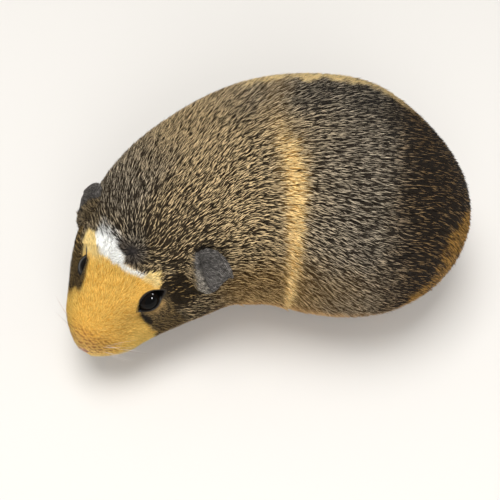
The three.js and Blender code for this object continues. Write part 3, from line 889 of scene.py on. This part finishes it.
def lieAt(t, angle, point, normal, alongStep, aboutStep):
    # unit sum of the ways back, down and out from the whorl and the eyes, laid along the surface
    d = (np.degrees(angle) + 90) % 360 - 90
    forward = unit(alongStep)
    about = unit(flattened(aboutStep, forward))
    x, y = t - whorl["t"], np.radians(d - whorl["degrees"]) * norm(aboutStep)
    r = np.maximum(np.hypot(x, y), 0.4)
    spread = mix(*whorl["spread"], smooth(70, 110, d))
    radial = mix(smooth(*whorl["edge"], r), bump(r, 0, spread), smooth(-4, 3, x))
    fall = -mix(*lying["fall"], smooth(*lying["fallFades"], t)) * np.cos(angle)
    lie = forward * mix(1, x / r, radial)[..., None] + about * mix(fall, y / r, radial)[..., None]
    for place in eyes.values():
        offset = point - place["middle"]
        push = lying["eyes"] * bump(norm(offset), 0, lying["eyesWidth"])
        lie = lie + unit(flattened(offset, normal)) * push[..., None]
    down = -upward + normal * normal[..., 2:]
    lie = mix(unit(lie), unit(down), (lying["rump"] * smooth(*lying["rumpFades"], t))[..., None])
    return unit(flattened(lie, normal))


# Coat: length and width of the tufts by place along the back, and how they vary
coat = {
    "lengths": [(0, 1), (5, 1.3), (12, 2), (28, 2.8), (40, 3.6), (48, 4.4), (62, 5), (90, 5.6), (237, 6)],
    "widths": [(0, 0.24), (12, 0.3), (28, 0.36), (40, 0.42), (50, 0.48), (80, 0.53), (237, 0.56)],
    "cover": 5.6, "under": 0.3, "underFades": (2, 14),  # tufts over each place, their share near the floor
    "nearEye": (0.5, 0.72), "nearWhorl": (0.62, 0.66),  # shares of length and width there
    "lengthShares": (0.72, 1.25), "widthShares": (0.75, 1.25),
    "lift": (-0.1, 0.25), "liftShares": (-0.16, 0.1),  # of the ends, in millimetres and shares of the depth
    "standing": 0.08, "stands": (0.05, 0.16),  # share of tufts that stand up, and by how much of their length
    "sway": 0.16, "swayWidth": 6, "stray": 0.11,  # radians off the lie
    "bendRadius": 11,
    "root": 0.3,  # millimetres that the tufts start under the skin
    "rootWidth": 0.75, "middle": 0.42, "middleDepth": 0.3,  # shares of the width, the length and the depth
    "overLids": 14,  # millimetres from the eyes
    "shown": 0.6,  # share of a tuft's length from its root to the middle of the part that shows
    "clump": 2.4, "clumps": 0.05,  # size and strength of the clumps that pale hairs come in
    "cells": ((1.3, 0.7), (2.4, 1.1)),  # size along and round, on face and body, that pale hairs are dealt to
    "girth": 50,  # millimetres per radian round the body
    "tone": 0.19, "toneWaves": 0.04,
    "faceEnds": 42,  # before this the tufts are straight spikes
    "most": 19400,  # tufts in one piece
    "mostSpikes": 48000,
}
tuft = {"over": 0.3, "aside": 0.5, "under": 0.12}  # its corners from its middle line, in widths
rootSteps = (0.7548776662, 0.5698402910)  # 1 / p and 1 / p squared, p being the plastic number 1.3247


def sizesAt(t, point):
    # length, width and distance from the nearer eye: shorter and finer round the eyes and the whorl
    away = np.min([norm(point - place["middle"]) for place in eyes.values()], 0)
    near, crown = smooth(15, 8, away), smooth(13, 4, norm(point - whorlPlace))
    sizes = []
    for k, pairs in enumerate((coat["lengths"], coat["widths"])):
        sizes.append(along(t, pairs) * mix(1, coat["nearEye"][k], near) * mix(1, coat["nearWhorl"][k], crown))
    return *sizes, away


def scatter(low, high, seed):
    # roots spread evenly by how many tufts a place needs: the k-th takes the fractions of k times rootSteps
    # as its shares of the running sums over rows and along a row
    rings, spokes = 600, 360
    t = mix(low, high, (1 - np.cos(np.linspace(0, math.pi, rings))) / 2)
    angle = np.linspace(0, 2 * math.pi, spokes + 1)
    tt, aa = np.meshgrid(t, angle, indexing="ij")
    point, _, alongStep, aboutStep = surface(tt, aa)
    length, width, _ = sizesAt(tt, point)
    shown = mix(coat["under"], 1, smooth(*coat["underFades"], point[..., 2]))
    need = norm(np.cross(alongStep, aboutStep)) / (length * width) * shown
    cell = (need[1:, 1:] + need[:-1, :-1]) / 2 * np.diff(t)[:, None]
    k = np.arange(int(coat["cover"] * cell.sum() * angle[1])) + seed
    a, b = [(k * step) % 1 for step in rootSteps]
    rows = np.concatenate([[0], np.cumsum(cell.sum(1))])
    where = np.interp(a, rows / rows[-1], np.arange(len(t)))
    row = np.minimum(where.astype(int), len(cell) - 1)
    columns = np.concatenate([np.zeros((len(cell), 1)), np.cumsum(cell, 1)], 1)
    columns /= columns[:, -1:]
    flat = (columns + np.arange(len(cell))[:, None]).ravel()
    place = np.interp(row + b, flat, np.arange(len(flat)))
    turn = (place - row * columns.shape[1]) / spokes
    return np.interp(where, np.arange(len(t)), t), turn * 2 * math.pi, a, b


def earsOver(points):
    # whether each point lies on or over an ear's bare leaf
    covered = np.zeros(len(points), bool)
    for side in ears["roots"]:
        root, leads, hind, face = earFrame(side)
        offset = points - root
        u, wide = dot(offset, leads) / ears["length"], dot(offset, hind)
        leaf = earLeaf(u, wide)
        v = wide / (ears["width"] / 2 * leaf)
        off = dot(offset, face) + earHang(u, v, leaf)
        within = (earFurry(side, u, v) < 0.01) & (u < 1.02 * earReach(1, v)) & (np.abs(v) < 1.02)
        covered |= within & (off > ears["hairsClear"][0]) & (off < ears["hairsClear"][1])
    return covered


def combed(t, angle, seed):
    # root, normal, lie, how the lie bends over the next millimetres, and the steps of t and angle along it,
    # which solve lie = onward times alongStep + turning times aboutStep
    point, normal, alongStep, aboutStep = surface(t, angle)
    lie = lieAt(t, angle, point, normal, alongStep, aboutStep)
    step = 1.5
    ee, ff, gg = dot(alongStep, alongStep), dot(alongStep, aboutStep), dot(aboutStep, aboutStep)
    p, q = dot(lie, alongStep), dot(lie, aboutStep)
    spread = np.maximum(ee * gg - ff * ff, 1e-6)
    onward, turning = (p * gg - q * ff) / spread, np.clip((q * ee - p * ff) / spread, -0.2, 0.2)
    t2, angle2 = np.clip(t + step * onward, 0.1, body["length"] - 0.1), angle + step * turning
    bend = (lieAt(t2, angle2, *surface(t2, angle2)) - lie) / step
    bend = bend / np.maximum(norm(bend) * coat["bendRadius"], 1)[:, None]
    pick = np.random.default_rng(seed)
    turn = coat["sway"] * waves(point, coat["swayWidth"], seed) + pick.normal(0, coat["stray"], len(t))
    lie = lie * np.cos(turn)[:, None] + np.cross(normal, lie) * np.sin(turn)[:, None]
    return point, normal, unit(lie), bend, onward, turning


def tuftRings(centre, across, over, width):
    # three corners round a tuft: one on top, two below
    top = centre + over * (tuft["over"] * width)[:, None]
    low = centre - over * (tuft["under"] * width)[:, None]
    aside = across * (tuft["aside"] * width)[:, None]
    return np.stack([top, low - aside, low + aside], 1)


def dealt(t, angle, cell, pick):
    # numbers from 0 to 1 dealt out evenly among the tufts of each small cell, so that pale ones don't crowd
    cells = np.floor(t / cell[0]) * 1e4 + np.floor(angle * coat["girth"] / cell[1])
    order = np.lexsort((pick.random(len(t)), cells))
    first = np.searchsorted(cells[order], cells[order])
    count = np.searchsorted(cells[order], cells[order], side="right") - first
    places = np.empty(len(t))
    places[order] = (np.arange(len(t)) - first + pick.random(len(t))[first]) / count
    return places


def tuftTints(light, tone, deep, tip, straight):
    # each tuft fades from its deep root to its tip, and a pale one's ridge is paler than its sides
    pale = smooth(0.62, 0.95, deep.mean(1) / np.maximum(tip.mean(1), 1e-3))[:, None]
    darkTip = mix(deep, tip, mix(0.05, 0.3, pale))
    base, dull = mix(deep * 0.5, deep * 0.85, pale), mix(deep, darkTip, 0.3)
    ridge, sides = [np.where(light, mix(deep, tip, share), dull) * tone for share in (0.85, 0.22)]
    end = np.where(light, tip, darkTip) * tone
    if straight:
        colours, counts = [mix(base, mix(ridge, sides, 0.5), 0.6), end], [3, 1]
    else:
        colours, counts = [base, ridge, sides, end], [3, 1, 2, 1]
    corners = [np.repeat(colour[:, None], count, 1) for colour, count in zip(colours, counts)]
    return np.maximum(np.concatenate(corners, 1), 0.001)


def growTufts(t, angle, seed, straight):
    # a tuft leaves the skin, bends over and ends near the coat's surface: root + lie s + bend s squared / 2,
    # raised off the surface; straight ones have no middle ring
    pick = np.random.default_rng(seed)
    count = len(t)
    point, normal, lie, bend, onward, turning = combed(t, angle, seed)
    length, width, away = sizesAt(t, point)
    length = length * pick.uniform(*coat["lengthShares"], count)
    width = width * pick.uniform(*coat["widthShares"], count)
    depth = depthAt(t, point)
    lift = depth * pick.uniform(*coat["liftShares"], count) + pick.uniform(*coat["lift"], count)
    stands = pick.random(count) < coat["standing"]
    lift = np.where(stands, lift + pick.uniform(*coat["stands"], count) * length, lift)
    ways = lambda s, height: point + lie * s[:, None] + bend * (s * s / 2)[:, None] + normal * height[:, None]
    root, end = ways(0 * length, -depth - coat["root"]), ways(length, lift)
    middle = ways(coat["middle"] * length, -coat["middleDepth"] * depth)
    across = unit(np.cross(normal, lie))
    rings = [tuftRings(root, across, normal, width * coat["rootWidth"])]
    if not straight:
        rings.append(tuftRings(middle, across, normal, width))
    points = np.concatenate([*rings, end[:, None]], 1)
    # over the lids the tufts climb as the skin does
    by = np.flatnonzero(away < coat["overLids"])
    for side, place in eyes.items():
        height = dot(points[by] - (point - normal * depth[:, None])[by, None], normal[by, None])
        climb = lidShell(points[by] - normal[by, None] * height[..., None], side, lids["thick"])[0]
        points[by] = points[by] + place["looks"] * climb[..., None]
    points[..., 2] = np.maximum(points[..., 2], floorLift + 0.2 * pick.random(count)[:, None])
    # the colour is the one that belongs where the tuft's outer half lies; pale hairs come in streaks
    shown = coat["shown"] * length
    painted = np.clip(t + shown * onward, 0.1, body["length"] - 0.1), angle + shown * turning
    deep, tip, share = markings(*painted, surface(*painted)[0])
    deal = dealt(t, angle, coat["cells"][0 if straight else 1], pick)
    clumps = coat["clumps"] * waves(point, coat["clump"], seed + 1)
    light = (deal < np.clip(share + clumps, 0, 1))[:, None]
    tone = (1 + coat["tone"] * pick.normal(size=count) + coat["toneWaves"] * waves(point, 5, 77))[:, None]
    return points, tuftTints(light, tone, deep, tip, straight), end


def tuftFaces(count, straight):
    # one closed tuft's triangles, repeated with the corner numbers moved on
    k = np.arange(3)
    after = (k + 1) % 3
    base = np.array([[0, 2, 1]])
    if straight:
        one = np.concatenate([base, np.stack([k, after, k * 0 + 3], -1)])
    else:
        sides = [np.stack([k, after, after + 3], -1), np.stack([k, after + 3, k + 3], -1)]
        one = np.concatenate([base, *sides, np.stack([k + 3, after + 3, k * 0 + 6], -1)])
    size = 4 if straight else 7
    return (one[None] + (np.arange(count) * size)[:, None, None]).reshape(-1, 3)


def bakePlaces(a, b, straight):
    # every tuft is a patch 0.003 across at its root's place on the skin's unwrap
    half, margin = 0.003 / 2, 0.005
    sizes = [3, 1] if straight else [3, 3, 1]
    us = np.repeat(np.linspace(-half, half, len(sizes)), sizes)
    vs = np.concatenate([[0, -half, half][:n] for n in sizes])
    a, b = mix(margin, 1 - margin, a), mix(margin, 1 - margin, b)
    return np.stack([a[:, None] + us, b[:, None] + vs], -1).reshape(-1, 2)


def coatPiece(name, points, tint, a, b, straight, material, slot):
    # one mesh of closed tufts with its colours and the map to bake to
    mesh = meshFrom(
        name, points.reshape(-1, 3), (), tuftFaces(len(points), straight),
        {"tint": tint.reshape(-1, 3)}, bakePlaces(a, b, straight),
    )
    piece(name, mesh, material, slot)
    print(f"coat: {name}, {len(points)} tufts, {len(mesh.polygons)} triangles", flush=True)


def growCoat(name, low, high, seed, straight, material, slot):
    # roots between two places along the back, cut into pieces of at most so many tufts
    t, angle, a, b = scatter(low, high, seed)
    place, normal, _, _ = surface(t, angle)
    skin = place - normal * depthAt(t, place)[:, None]
    edges = np.minimum(*[lidEdge(skin, side) for side in eyes])
    leather, hole, _, slit = muzzleLines(place)
    keep = (edges > 1.3) & (leather < 0.35) & (hole < 0.2) & (slit < 0.6)
    t, angle, a, b = t[keep], angle[keep], a[keep], b[keep]
    points, tint, end = growTufts(t, angle, seed, straight)
    clear = ~(earsOver(end) | earsOver(points[:, 3]))
    points, tint, a, b = points[clear], tint[clear], a[clear], b[clear]
    shares = math.ceil(len(points) / coat["mostSpikes" if straight else "most"])
    for k, chosen in enumerate(np.array_split(np.argsort(a), shares)):
        across = (a[chosen] - a[chosen].min()) / np.ptp(a[chosen])
        some = points[chosen], tint[chosen], across, b[chosen]
        coatPiece(f"{name}_{k + 1}", *some, straight, material, slot)


# Short hair on ears and feet: spikes whose size and lift grow where the grid is furry
down = {
    "sizes": (0.7, 1.25), "sway": 0.22, "rise": 0.16, "root": 0.15, "light": 0.36, "tone": 0.16,
    "furryLength": 1.5, "furryRise": 0.3, "furryWidth": 0.8,
    "ears": {"count": 8000, "length": 1.8, "width": 0.3}, "feet": {"count": 700, "length": 1.3, "width": 0.2},
}


def furOnGrid(grid, deep, tip, furry, part, seed):
    # roots by area on a closed grid, spikes along its rows, which run from root to tip
    pick = np.random.default_rng(seed)
    count, length, width = down[part].values()
    rows, columns = grid.shape[:2]
    alongStep, aboutStep = np.gradient(grid, axis=0), (np.roll(grid, -1, 1) - np.roll(grid, 1, 1)) / 2
    area = norm(np.cross(alongStep, aboutStep))[:-1]
    cell = np.searchsorted(np.cumsum(area.ravel()) / area.sum(), pick.random(count))
    row, column = np.divmod(np.minimum(cell, area.size - 1), columns)
    a, b = pick.random(count), pick.random(count)

    def at(values):
        # value at each root, between the four corners of its cell
        after = (column + 1) % columns
        low = mix(values[row, column], values[row, after], b[:, None])
        return mix(low, mix(values[row + 1, column], values[row + 1, after], b[:, None]), a[:, None])

    root, lie = at(grid), unit(at(alongStep))
    normal = unit(np.cross(at(aboutStep), lie))
    outside = dot(np.cross(aboutStep, alongStep), grid - grid.mean(1, keepdims=True))
    normal = normal * np.sign(outside.mean())
    lie = unit(lie + np.cross(normal, lie) * pick.normal(0, down["sway"], count)[:, None])
    sizes = pick.uniform(*down["sizes"], (2, count))
    longer = at(furry[..., None])[:, 0]
    reach = length * sizes[0] * (1 + down["furryLength"] * longer)
    rise = length * sizes[1] * (down["rise"] + down["furryRise"] * longer)
    end = root + lie * reach[:, None] + normal * rise[:, None]
    wide = width * sizes[1] * (1 + down["furryWidth"] * longer)
    base = tuftRings(root - normal * down["root"], np.cross(normal, lie), normal, wide)
    points = np.concatenate([base, end[:, None]], 1)
    points[..., 2] = np.maximum(points[..., 2], floorLift)
    tone = (1 + down["tone"] * pick.normal(size=count) + 0.2 * waves(root, 2.6, 8))[:, None]
    light = (pick.random(count) < down["light"] + 0.25 * waves(root, 2, 9))[:, None]
    dull = at(deep) * tone
    bright = np.where(light, at(tip) * tone, dull * 1.3)
    shades = np.stack([dull * 0.8, dull * 0.8, dull * 0.8, bright], 1)
    return points, np.maximum(shades, 0.001), (row + a) / rows, (column + b) / columns


def insideBody(points):
    # nearest place on the spine, then whether the point is nearer the spine than the surface there
    near = np.argmin(((points[:, None] - spinePlaces[None, ::4]) ** 2).sum(-1), 1)
    t = np.clip(spineT[::4][near], 0.5, body["length"] - 0.5)
    origin, _, left, up = spineFrame(t)
    offset = points - origin
    rise = dot(offset, up)
    high = np.where(rise >= 0, atStation(2, t), atStation(3, t))
    angle = np.arctan2(rise / high, dot(offset, left) / atStation(1, t))
    reach = norm(surface(t, angle)[0] - origin)
    return norm(offset) < reach - depthAt(t, points) - coat["root"]


def shortCoat(name, patches, material, slot):
    # spikes of several grids joined into one piece, without those that lie in the body
    points, tint, a, b = [np.concatenate(parts) for parts in zip(*patches)]
    keep = ~insideBody(points[:, 0]) & (points[:, 0, 2] > floorLift)
    coatPiece(name, points[keep], tint[keep], a[keep], b[keep], True, material, slot)


# Materials
def shaderOf(name, roughness, specular):
    # a new material with its tree and its shader
    made = bpy.data.materials.new(name)
    made.use_nodes = True
    shader = made.node_tree.nodes["Principled BSDF"]
    shader.inputs["Roughness"].default_value = roughness
    shader.inputs["Specular IOR Level"].default_value = specular
    return made, made.node_tree, shader


def fieldNode(tree, field, output):
    # the mesh's own numbers
    node = tree.nodes.new("ShaderNodeAttribute")
    node.attribute_name = field
    return node.outputs[output]


def noiseNode(tree, scale, detail):
    # noise from 0 to 1 on Object coordinates
    place = tree.nodes.new("ShaderNodeTexCoord")
    node = tree.nodes.new("ShaderNodeTexNoise")
    node.inputs["Scale"].default_value = scale
    node.inputs["Detail"].default_value = detail
    tree.links.new(place.outputs["Object"], node.inputs["Vector"])
    return node.outputs["Fac"]


def ranged(tree, value, low, high):
    # low where the value is 0, high where it is 1
    node = tree.nodes.new("ShaderNodeMapRange")
    node.inputs["To Min"].default_value = low
    node.inputs["To Max"].default_value = high
    tree.links.new(value, node.inputs["Value"])
    return node.outputs["Result"]


def speckled(tree, shader, colour, scale, detail, low, high):
    # base colour: the colour times noise between low and high
    node = tree.nodes.new("ShaderNodeVectorMath")
    node.operation = "SCALE"
    tree.links.new(colour, node.inputs[0])
    tree.links.new(ranged(tree, noiseNode(tree, scale, detail), low, high), node.inputs["Scale"])
    tree.links.new(node.outputs["Vector"], shader.inputs["Base Color"])


def grained(tree, shader, scale, detail, depth, strength):
    # noise of that depth in metres as bumps
    node = tree.nodes.new("ShaderNodeBump")
    node.inputs["Distance"].default_value = depth
    node.inputs["Strength"].default_value = strength
    tree.links.new(noiseNode(tree, scale, detail), node.inputs["Height"])
    tree.links.new(node.outputs["Normal"], shader.inputs["Normal"])


def hairMaterial(name):
    # the tufts' own colours, varied hair by hair
    made, tree, shader = shaderOf(name, 0.6, 0.12)
    speckled(tree, shader, fieldNode(tree, "tint", "Color"), 1500, 2, 0.72, 1.28)
    return made


def skinMaterial():
    # furry skin is dull; lids and nose leather are moist, with a fine grain
    made, tree, shader = shaderOf("skinAndShortFur", 0.8, 0.3)
    speckled(tree, shader, fieldNode(tree, "tint", "Color"), 1100, 4, 0.6, 1.4)
    tree.links.new(ranged(tree, fieldNode(tree, "bare", "Fac"), 0.85, 0.32), shader.inputs["Roughness"])
    grained(tree, shader, 2600, 4, 0.0002, 0.6)
    return made


def eyeMaterial():
    # near-black pupil and rim with a faintly brown iris between, by the angle from the eye's axis
    made, tree, shader = shaderOf("wetEye", 0.04, 0.1)
    ramp = tree.nodes.new("ShaderNodeValToRGB")
    stops = ramp.color_ramp.elements
    stops.new(0.8)
    black, brown = (0.002, 0.002, 0.002, 1), (0.005, 0.003, 0.002, 1)
    for stop, at, colour in zip(stops, (0.38, 0.46, 0.8), (black, brown, black)):
        stop.position, stop.color = at, colour
    tree.links.new(fieldNode(tree, "ring", "Fac"), ramp.inputs["Fac"])
    speckled(tree, shader, ramp.outputs["Color"], 900, 3, 0.5, 1.5)
    return made


def clawMaterial():
    # horn: the pieces' own colours, streaked and faintly grained
    made, tree, shader = shaderOf("hornClaw", 0.35, 0.5)
    speckled(tree, shader, fieldNode(tree, "tint", "Color"), 700, 5, 0.75, 1.25)
    grained(tree, shader, 1800, 2, 0.0001, 0.4)
    return made


def floorMaterial():
    # dull and pale
    made, _, shader = shaderOf("paleFloor", 0.75, 0.3)
    shader.inputs["Base Color"].default_value = (0.66, 0.64, 0.61, 1)
    return made


def eyeballMesh(side):
    # a ball with a slightly fuller front, and how far each point is from the way that the eye looks
    place = eyes[side]
    tilt, turn = np.meshgrid(np.linspace(0.02, math.pi - 0.02, 72), circle(96), indexing="ij")
    radius = eye["radius"] * (1 + 0.03 * bump(tilt, 0, 0.8))
    ways = {"looks": np.cos(tilt), "long": np.sin(tilt) * np.cos(turn), "high": np.sin(tilt) * np.sin(turn)}
    grid = place["ball"] + sum((radius * way)[..., None] * place[axis] for axis, way in ways.items())
    ring = np.concatenate([tilt.ravel() / 1.2, [0, 2.5]])
    return meshFrom("eyeball_" + side, *outward(*capped(grid)), {"ring": ring})


def clawsMesh():
    # all claws in one mesh, darker at their roots
    grids = [grid for foot in feet.values() for sign in (1, -1) for grid in clawGrids(foot, sign)]
    forms = [outward(*capped(grid)) for grid in grids]
    starts = np.cumsum([0] + [len(form[0]) for form in forms])
    quads, triangles = [np.concatenate([f[k] + start for f, start in zip(forms, starts)]) for k in (1, 2)]
    share = np.linspace(0, 1, len(grids[0]))[:, None, None] + 0 * grids[0]
    tint = np.tile(mix(hues["clawRoot"], hues["clawTip"], capped(share)[0]), (len(grids), 1))
    return meshFrom("claws", np.concatenate([form[0] for form in forms]), quads, triangles, {"tint": tint})


# Whiskers: long thin hairs from the muzzle's sides, swept back; sways are shares back and up
whiskers = {
    "count": 40, "length": (7, 16), "radius": 0.06, "rings": 9, "sides": 4,
    "from": (4, 12), "degrees": (-22, 34),
    "outwards": 0.42, "sways": ((0.75, -0.15), (1.1, 0.2)), "sag": 0.006, "sunk": 0.8, "lowest": 1,
}


def whiskersMesh():
    # paths point + way s + (back - up) sag s squared, with small rings round them that shrink to the tip
    pick = np.random.default_rng(12)
    count = whiskers["count"]
    t = pick.uniform(*whiskers["from"], count)
    d = pick.uniform(*whiskers["degrees"], count)
    d = np.where(np.arange(count) % 2, 180 - d, d)
    point, normal, alongStep, _ = surface(t, np.radians(d))
    back = unit(alongStep)
    sways = pick.uniform(*whiskers["sways"], (count, 2))
    way = unit(normal * whiskers["outwards"] + back * sways[:, :1] + upward * sways[:, 1:])
    length = pick.uniform(*whiskers["length"], count)
    s = np.linspace(0, 1, whiskers["rings"])
    reach = s[None] * length[:, None]
    path = point[:, None] - normal[:, None] * whiskers["sunk"] + way[:, None] * reach[..., None]
    sag = back * whiskers["sag"] - upward * whiskers["sag"]
    path = path + sag[:, None] * (reach**2)[..., None]
    path[..., 2] = np.maximum(path[..., 2], whiskers["lowest"])
    ahead = unit(np.gradient(path, axis=1))
    side = unit(np.cross(ahead, upward))
    over = np.cross(side, ahead)
    turn = circle(whiskers["sides"])[:, None]
    radius = (whiskers["radius"] * (1 - 0.85 * s))[None, :, None, None]
    grids = path[:, :, None] + (side[:, :, None] * np.cos(turn) + over[:, :, None] * np.sin(turn)) * radius
    one = capped(grids[0])
    size = len(one[0])
    points = np.concatenate([grids.reshape(count, -1, 3), path[:, :1], path[:, -1:]], 1).reshape(-1, 3)
    moved = np.arange(count)[:, None, None] * size
    quads, triangles = (one[1] + moved).reshape(-1, 4), (one[2] + moved).reshape(-1, 3)
    shade = mix(hues["muzzleDeep"], hues["white"], np.where(np.arange(count) % 5 == 0, 0.1, 0.7)[:, None])
    uv = np.column_stack([t / 20, (d + 90) / 360])
    tint, uv = [np.repeat(each, size, 0) for each in (shade, uv)]
    uv = uv + np.tile(np.concatenate([np.repeat(s, whiskers["sides"]), [0, 1]]) * 0.003, count)[:, None]
    return meshFrom("whiskers", *outward(points, quads, triangles), {"tint": tint}, uv)


# Skin
fleshNodes = ["head", "jaw", "nose", "neck", "trunk", "rump"] + [
    f"{part}_{side}"
    for part in ("ear", "foreleg", "hindleg", "forefoot", "hindfoot")
    for side in ("left", "right")
]
earForms = {side: earGrid(side) for side in ears["roots"]}
added = [closedMesh("ear_" + side, form[0], form[1], 0.35) for side, form in earForms.items()] + footMeshes()
skin = piece("skin", mended(united(bodyMesh(), added)), skinMaterial(), "coat_agouti")
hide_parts(*fleshNodes)
print(f"skin: {len(skin.data.polygons)} faces", flush=True)

# Coat
dark, pale = hairMaterial("agoutiHair"), hairMaterial("goldenHair")
growCoat("coat_face", 0.2, coat["faceEnds"], 3, True, pale, "coat_gold")
growCoat("coat_body", coat["faceEnds"], body["length"] - 0.02, 5, False, dark, "coat_agouti")
earPatches = []
for k, (grid, tint, furry) in enumerate(earForms.values()):
    # the down's pale tips at seven times the ear's colour: partly pale hairs, partly a painted highlight on
    # the fuzz
    tips = mix(tint * 7, hues["agouti"], furry[..., None])
    earPatches.append(furOnGrid(grid, tint * 0.9, tips, furry, "ears", 21 + k))
shortCoat("coat_ears", earPatches, hairMaterial("earDown"), "ear_skin")
footPatches = []
for k, grid in enumerate(g for foot in feet.values() for sign in (1, -1) for g in footGrids(foot, sign)):
    sole = 0 * grid + hues["sole"]
    footPatches.append(furOnGrid(grid, sole, sole * 1.5, grid[..., 0] * 0, "feet", 41 + k))
shortCoat("coat_feet", footPatches, dark, "foot_skin")
piece("whiskers", whiskersMesh(), hairMaterial("whiskerHair"), "coat_gold")

# Eyes and claws
for side in eyes:
    eyeball = piece("eyeball_" + side, eyeballMesh(side), eyeMaterial(), "eye")
    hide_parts("eye_" + side)
claws = piece("claws", clawsMesh(), clawMaterial(), "claw")
clawNodes = [
    f"{name}_claw_{side}_{k + 1}"
    for name, foot in feet.items()
    for side in ("left", "right")
    for k in range(len(foot["toes"]))
]
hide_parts(*clawNodes)
print("eyes, claws and whiskers made", flush=True)

# Floor, light and camera; each lamp is its place, size, power and whether it only glints
stage = {
    "floor": 3.0, "air": (1.0, 0.98, 0.95, 1), "airStrength": 0.45,
    "lamps": [
        ((-0.15, 0.1, 1.3), 0.8, 15.5, False),
        ((0.25, -1.1, 0.65), 0.9, 11.3, False),
        ((0.92, -0.38, 0.7), 0.17, 14, True),
        ((0.87, 0.26, 0.77), 0.2, 6, True),
    ],
    "azimuth": 7.4, "elevation": 56.48, "distance": 465.4, "view": 30.77, "target": (-9.14, -20.02, 42.0),
}


def makeFloor():
    # one square round the origin
    half = stage["floor"] / 2 / mm
    corners = np.array([[-half, -half, 0], [half, -half, 0], [half, half, 0], [-half, half, 0]])
    floor = piece("floor", meshFrom("floor", corners, [[0, 1, 2, 3]]), None, None)
    floor.data.materials.append(floorMaterial())


def makeLamp(place, size, power, glints):
    # the wide lamps light the coat; the small ones only leave their glints in the eyes
    lamp = bpy.data.lights.new("softLight", "AREA")
    lamp.size, lamp.energy = size, power
    shown = bpy.data.objects.new("softLight", lamp)
    shown.location = place
    shown.rotation_euler = Vector(place).to_track_quat("Z", "Y").to_euler()
    shown.visible_glossy = glints
    shown.visible_diffuse = not glints
    bpy.context.scene.collection.objects.link(shown)


def makeCamera():
    # stands at the given angle and distance from the target and looks at it
    azimuth, elevation = math.radians(stage["azimuth"]), math.radians(stage["elevation"])
    level = math.cos(elevation)
    back = Vector((math.sin(azimuth) * level, -math.cos(azimuth) * level, math.sin(elevation)))
    lens = bpy.data.cameras.new("camera")
    lens.angle = math.radians(stage["view"])
    lens.clip_start = 0.01
    shown = bpy.data.objects.new("camera", lens)
    shown.location = Vector(stage["target"]) * mm + back * stage["distance"] * mm
    shown.rotation_euler = back.to_track_quat("Z", "Y").to_euler()
    bpy.context.scene.collection.objects.link(shown)
    bpy.context.scene.camera = shown


def makeWorld():
    # even soft light from all round
    world = bpy.data.worlds.new("softRoom")
    world.use_nodes = True
    background = world.node_tree.nodes["Background"]
    background.inputs["Color"].default_value = stage["air"]
    background.inputs["Strength"].default_value = stage["airStrength"]
    bpy.context.scene.world = world
    bpy.context.scene.view_settings.view_transform = "Standard"


makeFloor()
for lamp in stage["lamps"]:
    makeLamp(*lamp)
makeCamera()
makeWorld()
print("floor, light and camera made", flush=True)
